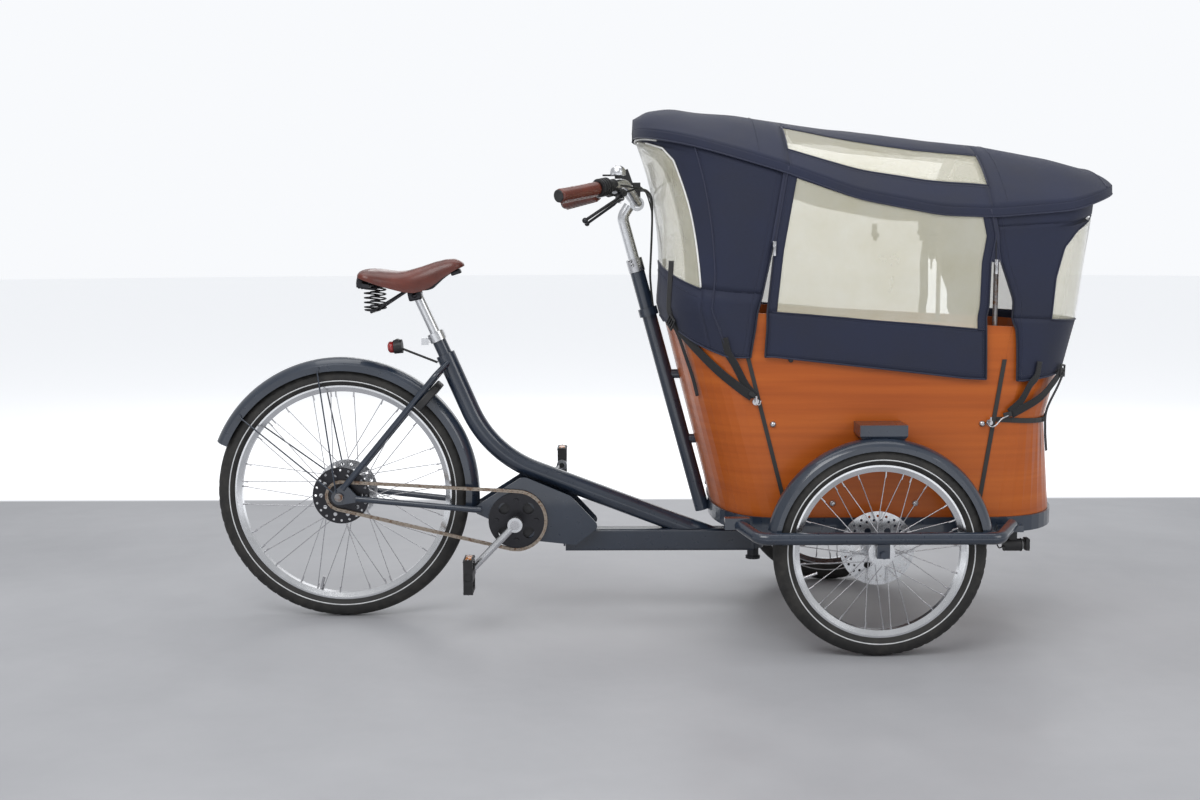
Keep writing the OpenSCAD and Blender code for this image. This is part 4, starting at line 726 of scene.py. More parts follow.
def tent_wall_pieces():
    tent_rear()
    for s in (-1, 1):
        name = "right" if s < 0 else "left"
        for part, lo, hi, n, vs in (("rear_panel", REAR_WIN, REAR_EDGE, 20, steps(1.12, 1.955, 20)),
                                    ("rear_corner", CORNER_LAP, REAR_EDGE, 12, steps(0, 1.125, 14)),
                                    ("rear_head", REAR_MIDDLE, REAR_EDGE, 30, steps(1.95, 2.0, 3)),
                                    ("front_panel", FRONT_EDGE, FRONT_WIN, 16, steps(1.0, 1.84, 20)),
                                    ("front_skirt", FRONT_EDGE, FRONT_MIDDLE, 30, steps(0, 1.004, 12)),
                                    ("front_head", FRONT_EDGE, FRONT_MIDDLE, 30, steps(1.836, 2.0, 6))):
            tent_sheet(f"tent_{part}_{name}", mirrored(spread(lo, hi, n), s), vs)
        tent_door(s, name)
        rows = [[wall_at(u, v, 0.1, 3.0, 1.5) for u in both_ways(s, steps(FRONT_WIN(v), 3.0, 18))]
                for v in steps(1.0, 1.84, 20)]
        tent_cloth(f"tent_front_window_{name}", rows, "vinyl", thickness=VINYL_T)

        # seams, bindings, zips and piping
        for fn, lift in ((DOOR_L, 3.2), (DOOR_R, 3.2), (REAR_EDGE, 1.0), (FRONT_EDGE, 1.0)):
            binding.tube(rim_line(fn, 0, 2, 44, s, lift), 2.0, 8)
        for fn, off, v0, v1, lift in ((DOOR_L, 0.012, 0.05, 1.95, 3.6), (DOOR_R, -0.012, 0.05, 1.95, 3.6),
                                      (REAR_EDGE, -0.014, 0.03, 1.97, 1.2), (FRONT_EDGE, 0.014, 0.03, 1.97, 1.2),
                                      (REAR_EDGE, -0.03, 0.03, 1.97, 1.0), (FRONT_EDGE, 0.03, 0.03, 1.97, 1.0)):
            stitches(stitch, rim_line(lambda v: fn(v) + off, v0, v1, 40, s, lift))
        seams.tube(rim_line(SEAM_U, 0.02, 1.99, 44, s, 0.9), 1.9, 8)
        stitches(stitch, rim_line(lambda v: SEAM_U(v) + 0.012, 0.03, 1.98, 40, s, 1.0))
        pipe.tube(rim_line(REAR_WIN, 1.13, 1.93, 40, s, 1.6), 2.2, 8)
        seams.tube([wall_at(s * FRONT_WIN(v), v, 1.0) for v in steps(1.0, 1.84, 36)], 1.6, 8)
        for u0, u1, n, lift in ((0, REAR_EDGE(0), 60, 0.4), (FRONT_EDGE(0), 3.0, 50, 0.4),
                                (DOOR_L(0), DOOR_R(0), 50, 2.6)):
            binding.tube([wall_at(s * u, 0.004, lift) for u in steps(u0, u1, n)], 2.1, 8)
        for u0, u1, lift in ((0, REAR_EDGE(0), 1), (FRONT_EDGE(0), 3, 1), (DOOR_L(0), DOOR_R(0), 3.2)):
            stitches(stitch, [wall_at(s * u, 0.09, lift) for u in steps(u0, u1, 60)])
        stitches(stitch, [wall_at(s * u, win_bottom(u) - 0.04, 3.4) for u in steps(1.15, 1.9, 50)])
        seams.tube([wall_at(s * u, win_bottom(u), 3.0) for u in steps(1.13, 1.9, 40)], 1.4, 8)
        for fn, v0 in ((lambda v: (DOOR_L(v) + REAR_EDGE(v)) / 2, ZIP_PULL_REAR),
                       (lambda v: (DOOR_R(v) + FRONT_EDGE(v)) / 2, ZIP_PULL_FRONT)):
            tape = [(s * fn(v), v) for v in steps(v0, 1.98, 30)]
            strap_between(seams, [wall_at(u, v, 0.6) for u, v in tape], [wall_normal(u, v) for u, v in tape], 17, 1.2)
            for k, p in enumerate(resample(rim_line(fn, v0, 1.98, 30, s, 2.4), 3.4)):
                teeth.box(p, (3.4 if k % 2 else 2.4, 2.4, 2.0), bevel=0.2)
            p = wall_at(s * fn(v0), v0, 4.4)
            pulls.box(p, (8, 4.5, 13), bevel=0.25)
            pulls.box(p + V(0, s * 3, 1), (4, 4, 7), bevel=0.3)
            pulls.box(p + V(0, s * 3.4, -17), (6, 1.6, 22), bevel=0.35)
            pulls.lathe(p + V(0, s * 2.4, -6), (0, 1, 0), ((-1.4, 2.2), (-1.4, 3.4), (1.4, 3.4), (1.4, 2.2)), 16)
        for fn, v1, lift in ((DOOR_L, ZIP_PULL_REAR, 3.4), (REAR_EDGE, ZIP_PULL_REAR, 1.6),
                             (DOOR_R, ZIP_PULL_FRONT, 3.4), (FRONT_EDGE, ZIP_PULL_FRONT, 1.6)):
            for p in resample(rim_line(fn, 0.02, v1, 30, s, lift + 1.6), 3.6):
                teeth.box(p, (2.6, 1.8, 1.9), bevel=0.2)
    pipe.tube([wall_at(u, lerp(1.95, 1.955, 1 - abs(u) / 0.44), 1.6) for u in steps(-0.4, 0.4, 24)], 2.2, 8)
    seams.tube([wall_at(u, win_low(u), 1.0) for u in steps(-0.74, 0.74, 50)], 1.6, 8)
    seams.tube([wall_at(math.copysign(3 - abs(t), t or 1), 1.0, 1.0) for t in steps(-0.78, 0.78, 50)], 1.6, 8)
    stitches(stitch, [wall_at(u, win_low(u) - 0.05, 1.2) for u in steps(-0.74, 0.74, 60)])


tent_wall_pieces()

# ---- tent roof ----
ROOF_X0, ROOF_X1 = -575.0, 620.0
WIN_X0, WIN_X1, WIN_V0, WIN_V1 = -215.0, 262.0, 0.5, 0.84
REAR_TURN, REAR_REACH = -287, 290      # where the plan starts to round in, and how far it runs on
FRONT_TURN, FRONT_REACH, FRONT_N = 396, 225, 2.2
BOW_SEAMS = (-300, 285)
TIP_SEAM = 560


def roof_half(x):
    if x < REAR_TURN:
        return TENT_Y * max(0.0, 1 - ((REAR_TURN - x) / REAR_REACH) ** TENT_N) ** (1 / TENT_N)
    if x < FRONT_TURN:
        return TENT_Y
    return TENT_Y * max(0.0, 1 - ((x - FRONT_TURN) / FRONT_REACH) ** FRONT_N) ** (1 / FRONT_N)


def roof_at(x, v, lift=0.0):
    """Point of the roof: x along it, v from -1 at the right eave to 1 at the left one."""
    half = max(roof_half(x), 1.0)
    z = lerp(smooth_table(RIDGE, x, 18), smooth_table(EAVE, x), abs(v) ** 2.2)
    p = V(WHEELBASE + x, v * half, z)
    calm = min(1.0, (1 - abs(v)) / 0.15)
    sag = 0.0
    for a, b in ((-560, BOW_SEAMS[0]), BOW_SEAMS, (BOW_SEAMS[1], 600)):
        if a < x < b:
            sag = -5.0 * math.sin(math.pi * (x - a) / (b - a)) ** 2 * (1 - v * v)
    ridge_fold = 1.6 * math.cos(v * 9 + x / 90) * calm
    return p + V(0, 0, lift + min(2.0, folds(p, 2.8, 1.0) * calm + sag + ridge_fold * 0.5))


def roof_rows(xs, vs):
    return [[roof_at(x, v) for v in vs] for x in xs]


def roof_piece(name, rows, look="tent", replaces=(), thickness=1.1):
    tent_cloth(name, rows, look, replaces, True, thickness)


def outward(a, lo, hi, by):
    """How far a stitch beside the roof window steps out of it, along one axis."""
    return by if a >= hi else -by if a <= lo else 0


def roof_side(s, name, rear, front):
    """Eave, window, seams and turned-down edge of one side."""
    middle = steps(WIN_X0, WIN_X1, 26)
    roof_piece(f"tent_roof_eave_{name}", roof_rows(middle, steps(*sorted((s * WIN_V1, s)), 6)))
    roof_piece(f"tent_roof_window_{name}", roof_rows(middle, steps(*sorted((s * WIN_V0, s * WIN_V1)), 12)), "vinyl",
               thickness=VINYL_T)
    around = ([(x, WIN_V0) for x in steps(WIN_X0, WIN_X1, 40)] + [(WIN_X1, v) for v in steps(WIN_V0, WIN_V1, 10)]
              + [(x, WIN_V1) for x in steps(WIN_X1, WIN_X0, 40)] + [(WIN_X0, v) for v in steps(WIN_V1, WIN_V0, 10)])
    seams.tube([roof_at(x, s * v, 1.0) for x, v in around], 1.8, 8)
    beside = []
    for x, v in around:
        x = min(x + outward(x, WIN_X0, 0, 6), WIN_X1 + 6)
        beside.append(roof_at(x, s * (v + outward(v, WIN_V0, WIN_V1, 0.02)), 1.4))
    stitches(stitch, beside)
    eave = [roof_at(x, s) for x in rear + steps(WIN_X0, WIN_X1, 30)[1:] + front[::-1][1:]]
    lip = [[p + V(0, s * 0.6 * k, -d) for p in eave] for k, d in enumerate((0, 4, 9, 15, 20))]
    tent_cloth(f"tent_roof_lip_{name}", lip, flip=s < 0, thickness=1.2)
    binding.tube(lip[-1], 1.9, 8)
    stitches(stitch, [p + V(0, s * 1.6, -13) for p in eave])


def roof_pieces():
    ease = [1 - math.cos(math.pi / 2 * k / 26) for k in range(27)]
    rear = [lerp(ROOF_X0, WIN_X0, e) for e in ease]
    front = [lerp(WIN_X1, ROOF_X1, 1 - e) for e in ease]
    vs = steps(-1, 1, 48)
    # the open rear end is closed by a row turned down onto the wall
    turned = [V(p.x - 1, p.y, smooth_table(EAVE, ROOF_X0) - 2) for p in (roof_at(ROOF_X0, v) for v in vs)]
    roof_piece("tent_roof_rear", [turned] + roof_rows(rear, vs), replaces=("tent_roof",))
    roof_piece("tent_roof_front", roof_rows(front, vs))
    roof_piece("tent_roof_middle", roof_rows(steps(WIN_X0, WIN_X1, 26), steps(-WIN_V0, WIN_V0, 26)))
    for s in (-1, 1):
        roof_side(s, "right" if s < 0 else "left", rear, front)
    for x in BOW_SEAMS:
        stitches(stitch, [roof_at(x + 14, v, 1.3) for v in steps(-0.96, 0.96, 80)])
    seams.tube([roof_at(TIP_SEAM, v, 1.0) for v in steps(-0.98, 0.98, 60)], 1.8, 8)


roof_pieces()
seams.make("tent_seams", "seam", "front_frame", "tent_cloth")
stitch.make("tent_stitching", "seam", "front_frame", "tent_cloth")
binding.make("tent_bindings", "seam", "front_frame", "tent_cloth")
teeth.make("tent_zip_teeth", "black", "front_frame", "black_parts")
pulls.make("tent_zip_pulls", "steel", "front_frame", "steel_parts")
pipe.make("tent_window_piping", "piping", "front_frame", "tent_cloth")


def box_pt(u, z, g):
    """Point g outside the box's end wall: u as for the skirt."""
    return level(u, z, rear_seam(z), REAR_BOW + g, front_seam(z), end_bow(z) + g, BOX_Y + g, BOW_N)


def node_box(name):
    """Bounds of a CAD node in the bike's millimetres."""
    o = NODES[name]
    pts = [o.matrix_world @ v.co for v in o.data.vertices]
    lo = [min(p[i] for p in pts) * 1000 for i in range(3)]
    hi = [max(p[i] for p in pts) * 1000 for i in range(3)]
    return V(lo[0] + ORIGIN_X, lo[1], lo[2]), V(hi[0] + ORIGIN_X, hi[1], hi[2])


# ---- straps, buckles and S-hooks ----
HOOK_REAR, HOOK_FRONT = V(1046.2, 0, 600), V(1606.7, 0, 548)
web, buckles, hooks = Parts(), Parts(), Parts()


def eased(points, n=10):
    """Smooth line through points."""
    out = []
    p = [points[0] * 2 - points[1]] + list(points) + [points[-1] * 2 - points[-2]]
    for i in range(1, len(p) - 2):
        for k in range(n):
            t = k / n
            a, b, c, d = p[i - 1:i + 3]
            out.append(0.5 * ((2 * b) + (c - a) * t + (2 * a - 5 * b + 4 * c - d) * t * t
                              + (3 * b - a - 3 * c + d) * t ** 3))
    out.append(p[-2])
    return out


def out_of(p):
    """Direction away from the box at a point."""
    if p.x > 1600:
        return V(p.x - 1500, p.y * 0.9, 0).normalized()
    if p.x < 1100:
        return V(p.x - 1180, p.y * 0.9, 0).normalized()
    return V(0, 1 if p.y > 0 else -1, 0)


def strap(points, w, t=1.6):
    path = eased([Vector(p) for p in points])
    strap_between(web, path, [out_of(p) for p in path], w, t)
    for e in (-1, 1):
        edge = []
        for i, p in enumerate(path):
            tan = (path[min(i + 1, len(path) - 1)] - path[max(i - 1, 0)]).normalized()
            s = tan.cross(out_of(p)).normalized()
            edge.append(p + s * (w * 0.4 * e) + out_of(p) * (t + 0.2))
        stitches(stitch2, edge, 0.35, 3.2)


def ladder_buckle(p, along, w):
    """Ladder-lock buckle: two rails, four bars."""
    n = out_of(p)
    a = (along - n * along.dot(n)).normalized()
    s = a.cross(n).normalized()
    r = Matrix((a, s, n)).transposed()
    q = p + n * 3.4
    for e in (-1, 1):
        buckles.box(q + s * (w / 2 + 3) * e, (30, 4.6, 4.4), r, 0.3)
    for d, th in ((-13, 4), (-4.5, 3.4), (4.5, 3.4), (13, 4.6)):
        buckles.box(q + a * d, (th, w + 4, 3.8), r, 0.3)


stitch2 = Parts()
for s in (-1, 1):
    top = [wall_at(s * 0.375, v, 2.0) for v in (1.26, 1.12, 0.9, 0.5, 0.18)]
    strap(top + [box_pt(s * 0.38, 776, 9)], 22)
    hook = V(HOOK_REAR.x, s * (BOX_Y + 9), HOOK_REAR.z)
    strap([box_pt(s * 0.36, 792, 13), box_pt(s * 0.42, 770, 7), box_pt(s * 0.6, 722, 4), box_pt(s * 0.78, 672, 4),
           box_pt(s * 0.93, 630, 4), hook + V(-9, s * -1, 13)], 22)
    ladder_buckle(box_pt(s * 0.375, 786, 12), box_pt(s * 0.42, 770, 7) - box_pt(s * 0.33, 800, 8), 22)
    strap([box_pt(s * 0.4, 780, 14), box_pt(s * 0.41, 750, 8), box_pt(s * 0.43, 700, 6), box_pt(s * 0.45, 650, 5),
           box_pt(s * 0.46, 606, 7)], 12, 1.3)
    strap([wall_at(s * 0.9, 0.42, 2.4), wall_at(s * 0.9, 0.1, 2.6), box_pt(s * 0.93, 690, 9), box_pt(s * 0.965, 640, 5),
           hook + V(-2, s * -1, 14)], 20)
    hooks.tube(eased([hook + V(-8, 0, 20), hook + V(-3, s * 2, 8), hook + V(2, s * 3, -4), hook + V(8, s * 3, -6),
                      hook + V(11, s * 3, 4)], 5), 1.9, 8)
    buckles.box(hook + V(-6, s * 1.5, 16), (24, 5, 10), Matrix.Rotation(math.radians(30), 3, "Y"), 0.3)
    end = V(1648, s * (BOX_Y + 8), 566)
    strap([wall_at(s * 2.2, 0.3, 2.6), wall_at(s * 2.2, 0.06, 3.2), box_pt(s * 2.16, 640, 13), box_pt(s * 2.12, 600, 9),
           end + V(4, 0, 8)], 20)
    strap([box_pt(s * 2.5, 672, 20), box_pt(s * 2.4, 640, 17), box_pt(s * 2.27, 604, 14), end + V(10, s * -2, 2)], 20)
    ladder_buckle(box_pt(s * 2.5, 668, 18), V(0, 0, 1) + V(0.2, 0, 0), 20)
    strap([box_pt(s * 2.5, 664, 25), box_pt(s * 2.5, 630, 20), box_pt(s * 2.5, 570, 9), box_pt(s * 2.5, 520, 9),
           box_pt(s * 2.5, 470, 11)], 13, 1.3)
    buckles.box(end + V(0, s * 2, 2), (20, 5, 13), Matrix.Rotation(math.radians(-15), 3, "Y"), 0.3)
    hk = V(HOOK_FRONT.x, s * (BOX_Y + 9), HOOK_FRONT.z)
    hooks.tube(eased([end + V(2, s * 3, 0), end + V(-14, s * 4, -8), hk + V(12, s * 4, -6), hk + V(0, s * 3, -8),
                      hk + V(-7, s * 3, 2)], 5), 1.9, 8)
    for x, z in ((1166, 1106), (1440, 1000)):
        c = V(x, s * 286, z)
        buckles.box(c, (22, 6, 12), Matrix.Rotation(math.radians(20), 3, "Y"), 0.3)
        buckles.box(c + V(0, 0, -10), (10, 4, 14), None, 0.3)
        strap_between(web, [c + V(-2, 0, d) for d in (4, 16, 30)], [V(0, s, 0)] * 3, 14, 1.4)
    for z in (700, 742):
        for x0 in (1129, 1583):
            c = V(x0, s * (BOX_Y + 3), z)
            buckles.lathe(c, (0, s, 0), ((-1, 6), (1.6, 6), (2.6, 4.6), (3.2, 2)), 16)
web.make("tent_webbing", "webbing", "front_frame", "webbing", ("tent_straps",))
stitch2.make("webbing_stitches", "seam", "front_frame", "webbing")
buckles.make("tent_buckles", "black", "front_frame", "black_parts")
hooks.make("tent_s_hooks", "steel", "front_frame", "steel_parts")


# ---- tyres with tread and a reflective ring on each side ----
def tyre(name, centre, R, w, body, node, ring):
    n, m = 360, 30
    rc = R - w / 2
    rows = []
    for i in range(n):
        a = 2 * math.pi * i / n
        row = []
        for j in range(m):
            b = 2 * math.pi * j / m
            crown = math.cos(b)
            r = w / 2
            if crown > 0.45:
                lat = math.sin(b)
                groove = abs(abs(lat) - 0.22) < 0.07 or (i + int(10 * abs(lat))) % 6 == 0 and abs(lat) > 0.3
                r -= 2.0 if groove else 0.0
            elif crown > 0:
                r -= 0.5 * ((i // 2) % 2)
            row.append(centre + V(math.cos(a), 0, math.sin(a)) * (rc + r * crown) + V(0, 1, 0) * r * math.sin(b))
        rows.append(row)
    rows.append(rows[0])
    o = Parts().grid(rows, wrap=True).make(name, "tyre", body, "tyre_rubber", (node,))
    rp = Parts()
    lat = math.sqrt((w / 2) ** 2 - (ring - rc) ** 2)
    for s in (-1, 1):
        turns = [2 * math.pi * k / 160 for k in range(160)]
        pts = [centre + V(math.cos(a) * ring, s * (lat - 0.2), math.sin(a) * ring) for a in turns]
        rp.tube(pts, 1.5, 8, closed=True)
    rp.make(name + "_reflective_ring", "reflective", body, "tyre_rubber")


tyre("rear_tyre_tread", V(0, 0, REAR_R), REAR_R, 50, "rear_wheel", "rear_tyre", 296.5)
tyre("right_tyre_tread", V(WHEELBASE, -WHEEL_Y, FRONT_R), FRONT_R, 50, "front_right_wheel", "right_tyre", 220.5)
tyre("left_tyre_tread", V(WHEELBASE, WHEEL_Y, FRONT_R), FRONT_R, 50, "front_left_wheel", "left_tyre", 220.5)


# ---- chain: rollers and plates round both sprockets ----
CHAIN_Y, COG_R, RING_R, PITCH = -54, 36.57, 76.9, 12.7


def chain_pieces():
    a, b = V(0, CHAIN_Y, REAR_R), V(455, CHAIN_Y, 263)
    ra, rb = COG_R, RING_R
    d = b - a
    span, tilt = d.length, math.atan2(d.z, d.x)
    wrap = math.asin((rb - ra) / span)
    pts = []
    up, down = tilt + math.pi / 2 + wrap, tilt - math.pi / 2 - wrap
    at = lambda c, r, g: c + V(math.cos(g), 0, math.sin(g)) * r
    for k in range(41):
        pts.append(at(b, rb, lerp(up, down, k / 40)))
    for k in range(41):
        pts.append(at(a, ra, lerp(down, up - 2 * math.pi, k / 40)))
    pts.append(pts[0])
    length = path_length(pts)
    n = 2 * round(length / PITCH / 2)
    pins = resample(pts, length / n)[:n]
    c = Parts()
    for k, p in enumerate(pins):
        q = pins[(k + 1) % n]
        x = (q - p).normalized()
        z = x.cross(V(0, 1, 0))
        c.lathe(p + V(0, -3.1, 0), (0, 1, 0), ((0, 3.4), (0.4, 3.9), (5.8, 3.9), (6.2, 3.4)), 12)
        c.lathe(p + V(0, -5.0, 0), (0, 1, 0), ((0, 1.3), (0.3, 1.8), (9.7, 1.8), (10, 1.3)), 8)
        for y in ((-4.5, 4.5) if k % 2 else (-3.4, 3.4)):
            ring = []
            for end, ang in ((p, math.pi), (q, 0)):
                for g in (-0.5, -0.25, 0, 0.25, 0.5):
                    t = ang + g * math.pi
                    ring.append(end + x * math.cos(t) * 3.9 + z * math.sin(t) * 3.9)
            verts = [v + V(0, y - 0.5, 0) for v in ring] + [v + V(0, y + 0.5, 0) for v in ring]
            faces = [tuple(range(10)), tuple(reversed(range(10, 20)))]
            faces += [(i, 10 + i, 10 + (i + 1) % 10, (i + 1) % 10) for i in range(10)]
            c.add(verts, faces)
    c.make("chain_links", "chain", "rear_frame", "chain_steel", ("chain",), smooth=False)


chain_pieces()

# ---- pedals' reflectors, lights ----
for side, s in (("right", -1), ("left", 1)):
    lo, hi = node_box(f"pedal_{side}")
    cx, cz = (lo.x + hi.x) / 2, (lo.z + hi.z) / 2
    cy = hi.y - 34 if s > 0 else lo.y + 34
    amber, studs = Parts(), Parts()
    for e in (-1, 1):
        amber.box(V(cx, cy, cz + e * 44.6), (15, 46, 3), None, 0.3)
        for k in (-28, 28):
            studs.lathe(V(cx, cy + k, cz + e * 43.6), (0, 0, e), ((0, 3), (1.6, 3), (2.6, 1.8)), 10)
        for k in (-30, -10, 10, 30):
            for q in (-1, 1):
                studs.lathe(V(cx + q * 11.6, cy + k, cz + e * 39.5), (q, 0, 0), ((0, 1.6), (1.8, 1.5), (2.2, 0.6)), 8)
    amber.make(f"pedal_{side}_reflectors", "amber_lens", f"{side}_pedal", "black_parts")
    studs.make(f"pedal_{side}_studs", "steel", f"{side}_pedal", "black_parts")
LIGHT, LAMP = V(140, 0, 712), V(1679, -280, 244)
Parts().lathe(LIGHT + V(-2, 0, 0), (-1, 0, -0.08), ((0, 15.6), (9, 15.3), (12.5, 14), (15.5, 10), (17, 4)), 36).make(
    "tail_light_lens", "red_lens", "rear_frame", "black_parts")
Parts().lathe(LAMP + V(18, 0, 0), (1, 0, 0), ((0, 14.6), (2.5, 14.6), (5, 12.5), (6.6, 8), (7.2, 3)), 36).make(
    "headlight_lens", "clear_lens", "front_frame", "black_parts")
rim = [LAMP + V(20, 15 * math.cos(g), 15 * math.sin(g)) for g in steps(0, 2 * math.pi, 36)[:-1]]
bezel = Parts().tube(rim, 1.3, 8, closed=True)
bezel.box(LAMP + V(34, 0, 2), (10, 27.4, 29), None, 0.12)
bezel.make("headlight_bezel", "black", "front_frame", "black_parts")
Parts().box(LAMP + V(39.2, 0, 2), (2.2, 23, 24), None, 0.25).make(
    "front_reflector_lens", "clear_lens", "front_frame", "black_parts")


# ---- leather saddle ----
CREST = ((57, 899), (59, 903), (62.6, 906.8), (70, 909.5), (84, 911.6), (108, 910.6), (139, 906), (157, 904.6),
         (180, 906.4), (215, 916.3), (251, 928.4), (278, 934.9), (298, 936), (309, 932.6), (316, 928.5), (319, 925))
SKIRT = ((57, 893), (70, 888), (91, 880.6), (117, 871), (147, 862), (173, 855), (195, 853), (215, 857), (235, 864.7),
         (255, 879), (273, 893), (288, 903), (308, 915), (319, 921))


def saddle_half(x):
    t = (x - 56) / (318 - 56)
    h = 26 + 84 * max(0.0, 1 - t) ** 1.7 * (1 - 0.35 * (max(0.0, 0.18 - t) / 0.18) ** 2)
    return h * (1 if x < 290 else math.sqrt(max(0.02, 1 - ((x - 290) / 30) ** 2)))


def saddle_pt(x, u, lift=0.0):
    a = abs(u) * math.pi / 2
    top, low = table(CREST, x), table(SKIRT, x)
    y = saddle_half(x) * math.sin(a) ** 0.8 * (1 if u > 0 else -1)
    mid_x = x + (6 if x < 100 else 0) * math.sin(a) ** 2 * (100 - x) / 43
    return V(mid_x, y + lift * u, low + (top + lift - low) * math.cos(a) ** 0.62)


def saddle_pieces():
    xs = [57 + 262 * (0.5 - 0.5 * math.cos(math.pi * k / 46)) for k in range(47)]
    us = steps(-1, 1, 36)
    o = Parts().grid([[saddle_pt(x, u) for u in us] for x in xs]).make(
        "saddle_leather_top", "leather", "seat", "saddle_leather", ("saddle_top",))
    modifier(o, "SOLIDIFY", thickness=0.0042, offset=-1.0)
    modifier(o, "BEVEL", width=0.0012, segments=2, limit_method="ANGLE")
    r = Parts()
    for x, u in ((72, 0.16), (72, -0.16), (70, 0.46), (70, -0.46), (82, 0.72), (82, -0.72), (112, 0.84), (112, -0.84),
                 (286, 0.62), (286, -0.62), (306, 0.3), (306, -0.3)):
        p = saddle_pt(x, u, 0.2)
        e = 0.02
        n = (saddle_pt(x + 2, u) - saddle_pt(x - 2, u)).cross(saddle_pt(x, u + e) - saddle_pt(x, u - e)).normalized()
        n = n if n.z > 0 else -n
        r.lathe(p, n, ((-1, 4.6), (0.5, 4.6), (1.6, 3.6), (2.3, 1.6)), 18)
    r.make("saddle_rivets", "steel", "seat", "steel_parts")
    st = Parts()
    for s in (-1, 1):
        stitches(st, [saddle_pt(x, s * 0.955, 0.4) for x in steps(66, 300, 90)], 0.5, 4.4)
    st.make("saddle_edge_stitching", "grip", "seat", "saddle_leather")
    f = Parts()
    for s in (-1, 1):
        f.tube(eased([V(80, s * 46, 884), V(70, s * 46, 876), V(58, s * 46, 870), V(57, s * 40, 866),
                      V(66, s * 38, 872), V(80, s * 38, 884)], 5), 1.7, 8)
        f.lathe(V(92, s * 50, 868), (0, 0, -1), ((0, 19), (3, 20), (4, 14)), 24)
        f.lathe(V(92, s * 50, 813), (0, 0, -1), ((0, 21), (4, 20), (6, 10)), 24)
    f.box(V(196, 0, 846), (34, 52, 26), Matrix.Rotation(math.radians(-12), 3, "Y"), 0.2)
    f.lathe(V(196, -30, 846), (0, 1, 0), ((0, 6), (4, 6.6), (56, 6.6), (60, 6)), 20)
    f.box(V(302, 0, 905), (26, 30, 12), Matrix.Rotation(math.radians(-18), 3, "Y"), 0.25)
    f.make("saddle_irons", "black_metal", "seat", "steel_parts")


saddle_pieces()


# ---- leather grips with a stitched seam and end plugs ----
def grip_pieces():
    gd = V(-0.682581, 0.713407, -0.158535)
    g, st, plug = Parts(), Parts(), Parts()
    for s in (-1, 1):
        d = V(gd.x, s * gd.y, gd.z)
        end = V(581.1, s * 312, 1090)
        start = end - d * 128
        prof = []
        for k in range(33):
            x = lerp(0, 132, k / 32)
            r = 17 - 0.7 * math.sin(math.pi * x / 132) - (1.9 if k in (0, 32) else 0)
            prof.append((x, r + 0.25 * math.sin(x * 1.1)))
        g.lathe(start, d, prof, 40)
        side = d.cross(V(0, 0, 1)).normalized()
        low = side.cross(d).normalized()
        low = low if low.z < 0 else -low
        g.tube([start + d * x + low * 16.6 for x in steps(4, 128, 30)], 2.6, 8, flat=0.8)
        for e in (-1, 1):
            stitches(st, [start + d * x + low * 17.4 + side * 4.6 * e for x in steps(5, 127, 50)], 0.55, 3.8)
        plug.lathe(end + d * 3.4, d, ((0, 10), (1.2, 15.2), (3, 15.2), (4, 13.5), (2.6, 11), (2.4, 3)), 32)
    g.make("grip_leather_wraps", "grip", "handlebars", "saddle_leather", ("grips",))
    st.make("grip_stitching", "piping", "handlebars", "saddle_leather")
    plug.make("grip_end_plugs", "black", "handlebars", "black_parts")


grip_pieces()

# ---- display, bell and cockpit details ----
BAR, LEVER_PIN = V(770.1, 0, 1078), V(728.6, 185, 1098.2)
tilt = Matrix.Rotation(math.radians(-20), 3, "Y")
for part, look, out, size in (("case", "black", -2, (11, 60, 36)), ("glass", "screen", -8.4, (1.6, 48, 27))):
    Parts().box(BAR + tilt @ V(out, 0, 20) + V(-24, 0, 46), size, tilt, 0.2).make(
        f"display_{part}", look, "handlebars", "black_parts")
bell = V(718.98, -167.89, 1135.42)
dome = ((0, 18.4), (1, 19), (8, 19), (15, 17.6), (20, 13.8), (23.6, 8), (24.8, 2))
Parts().lathe(bell + V(0, 0, 8), (0, 0, 1), dome, 40).make(
    "bell_dome", "alloy", "handlebars", "black_parts")
bits = Parts()
for s in (-1, 1):
    pin = V(LEVER_PIN.x, s * LEVER_PIN.y, LEVER_PIN.z)
    for k in (-1, 1):
        bits.lathe(pin + V(0, s * 0.1, 11 * k), (0, 0, k), ((0, 5), (1.5, 5), (1.5, 2.6), (0.6, 2.5)), 12)
    bits.lathe(V(744, s * 150, 1122), (0.6, 0, -0.8), ((14, 4), (18, 4), (18, 2), (16.5, 1.9)), 12)
for x, z in ((757, 921), (751, 931)):
    bits.lathe(V(x, 0, z), (0, -1, 0), ((20, 5), (24, 5), (24, 2.6), (22.6, 2.5)), 12)
for side, s in (("right", -1), ("left", 1)):
    pin = V(LEVER_PIN.x, s * LEVER_PIN.y, LEVER_PIN.z)
    o = NODES[f"brake_lever_{side}"]
    pts = [V(p.x * 1000 + ORIGIN_X, p.y * 1000, p.z * 1000) for p in (o.matrix_world @ v.co for v in o.data.vertices)]
    tip = max(pts, key=lambda p: (p - pin).length).lerp(pin, 0.03)
    ball = ((0, 1), (1, 4), (3.5, 6.4), (7, 7.2), (10.5, 6.4), (13, 4), (14, 1))
    Parts().lathe(tip + V(0, 0, -7), (0, 0, 1), ball, 20).make(
        f"brake_lever_{side}_ball", "black_metal", f"{side}_brake_lever", "black_parts")
bits.make("cockpit_screws", "steel", "handlebars", "steel_parts")

# ---- hoses and cables: from the levers and the twist grip down to the post's band ----
CORDS = (("right_brake_hose", V(741, -166, 1104), 5.0, -9), ("left_brake_hose", V(741, 166, 1104), 5.0, 9),
         ("gear_cable", V(726, -186, 1119), 4.4, -3), ("display_wire", V(752, 0, 1128), 3.4, 3))
DOWN_THE_POST = ((809, 1050), (808, 1000), (806, 950), (804, 900), (806, 866), (808, 846), (812, 812))


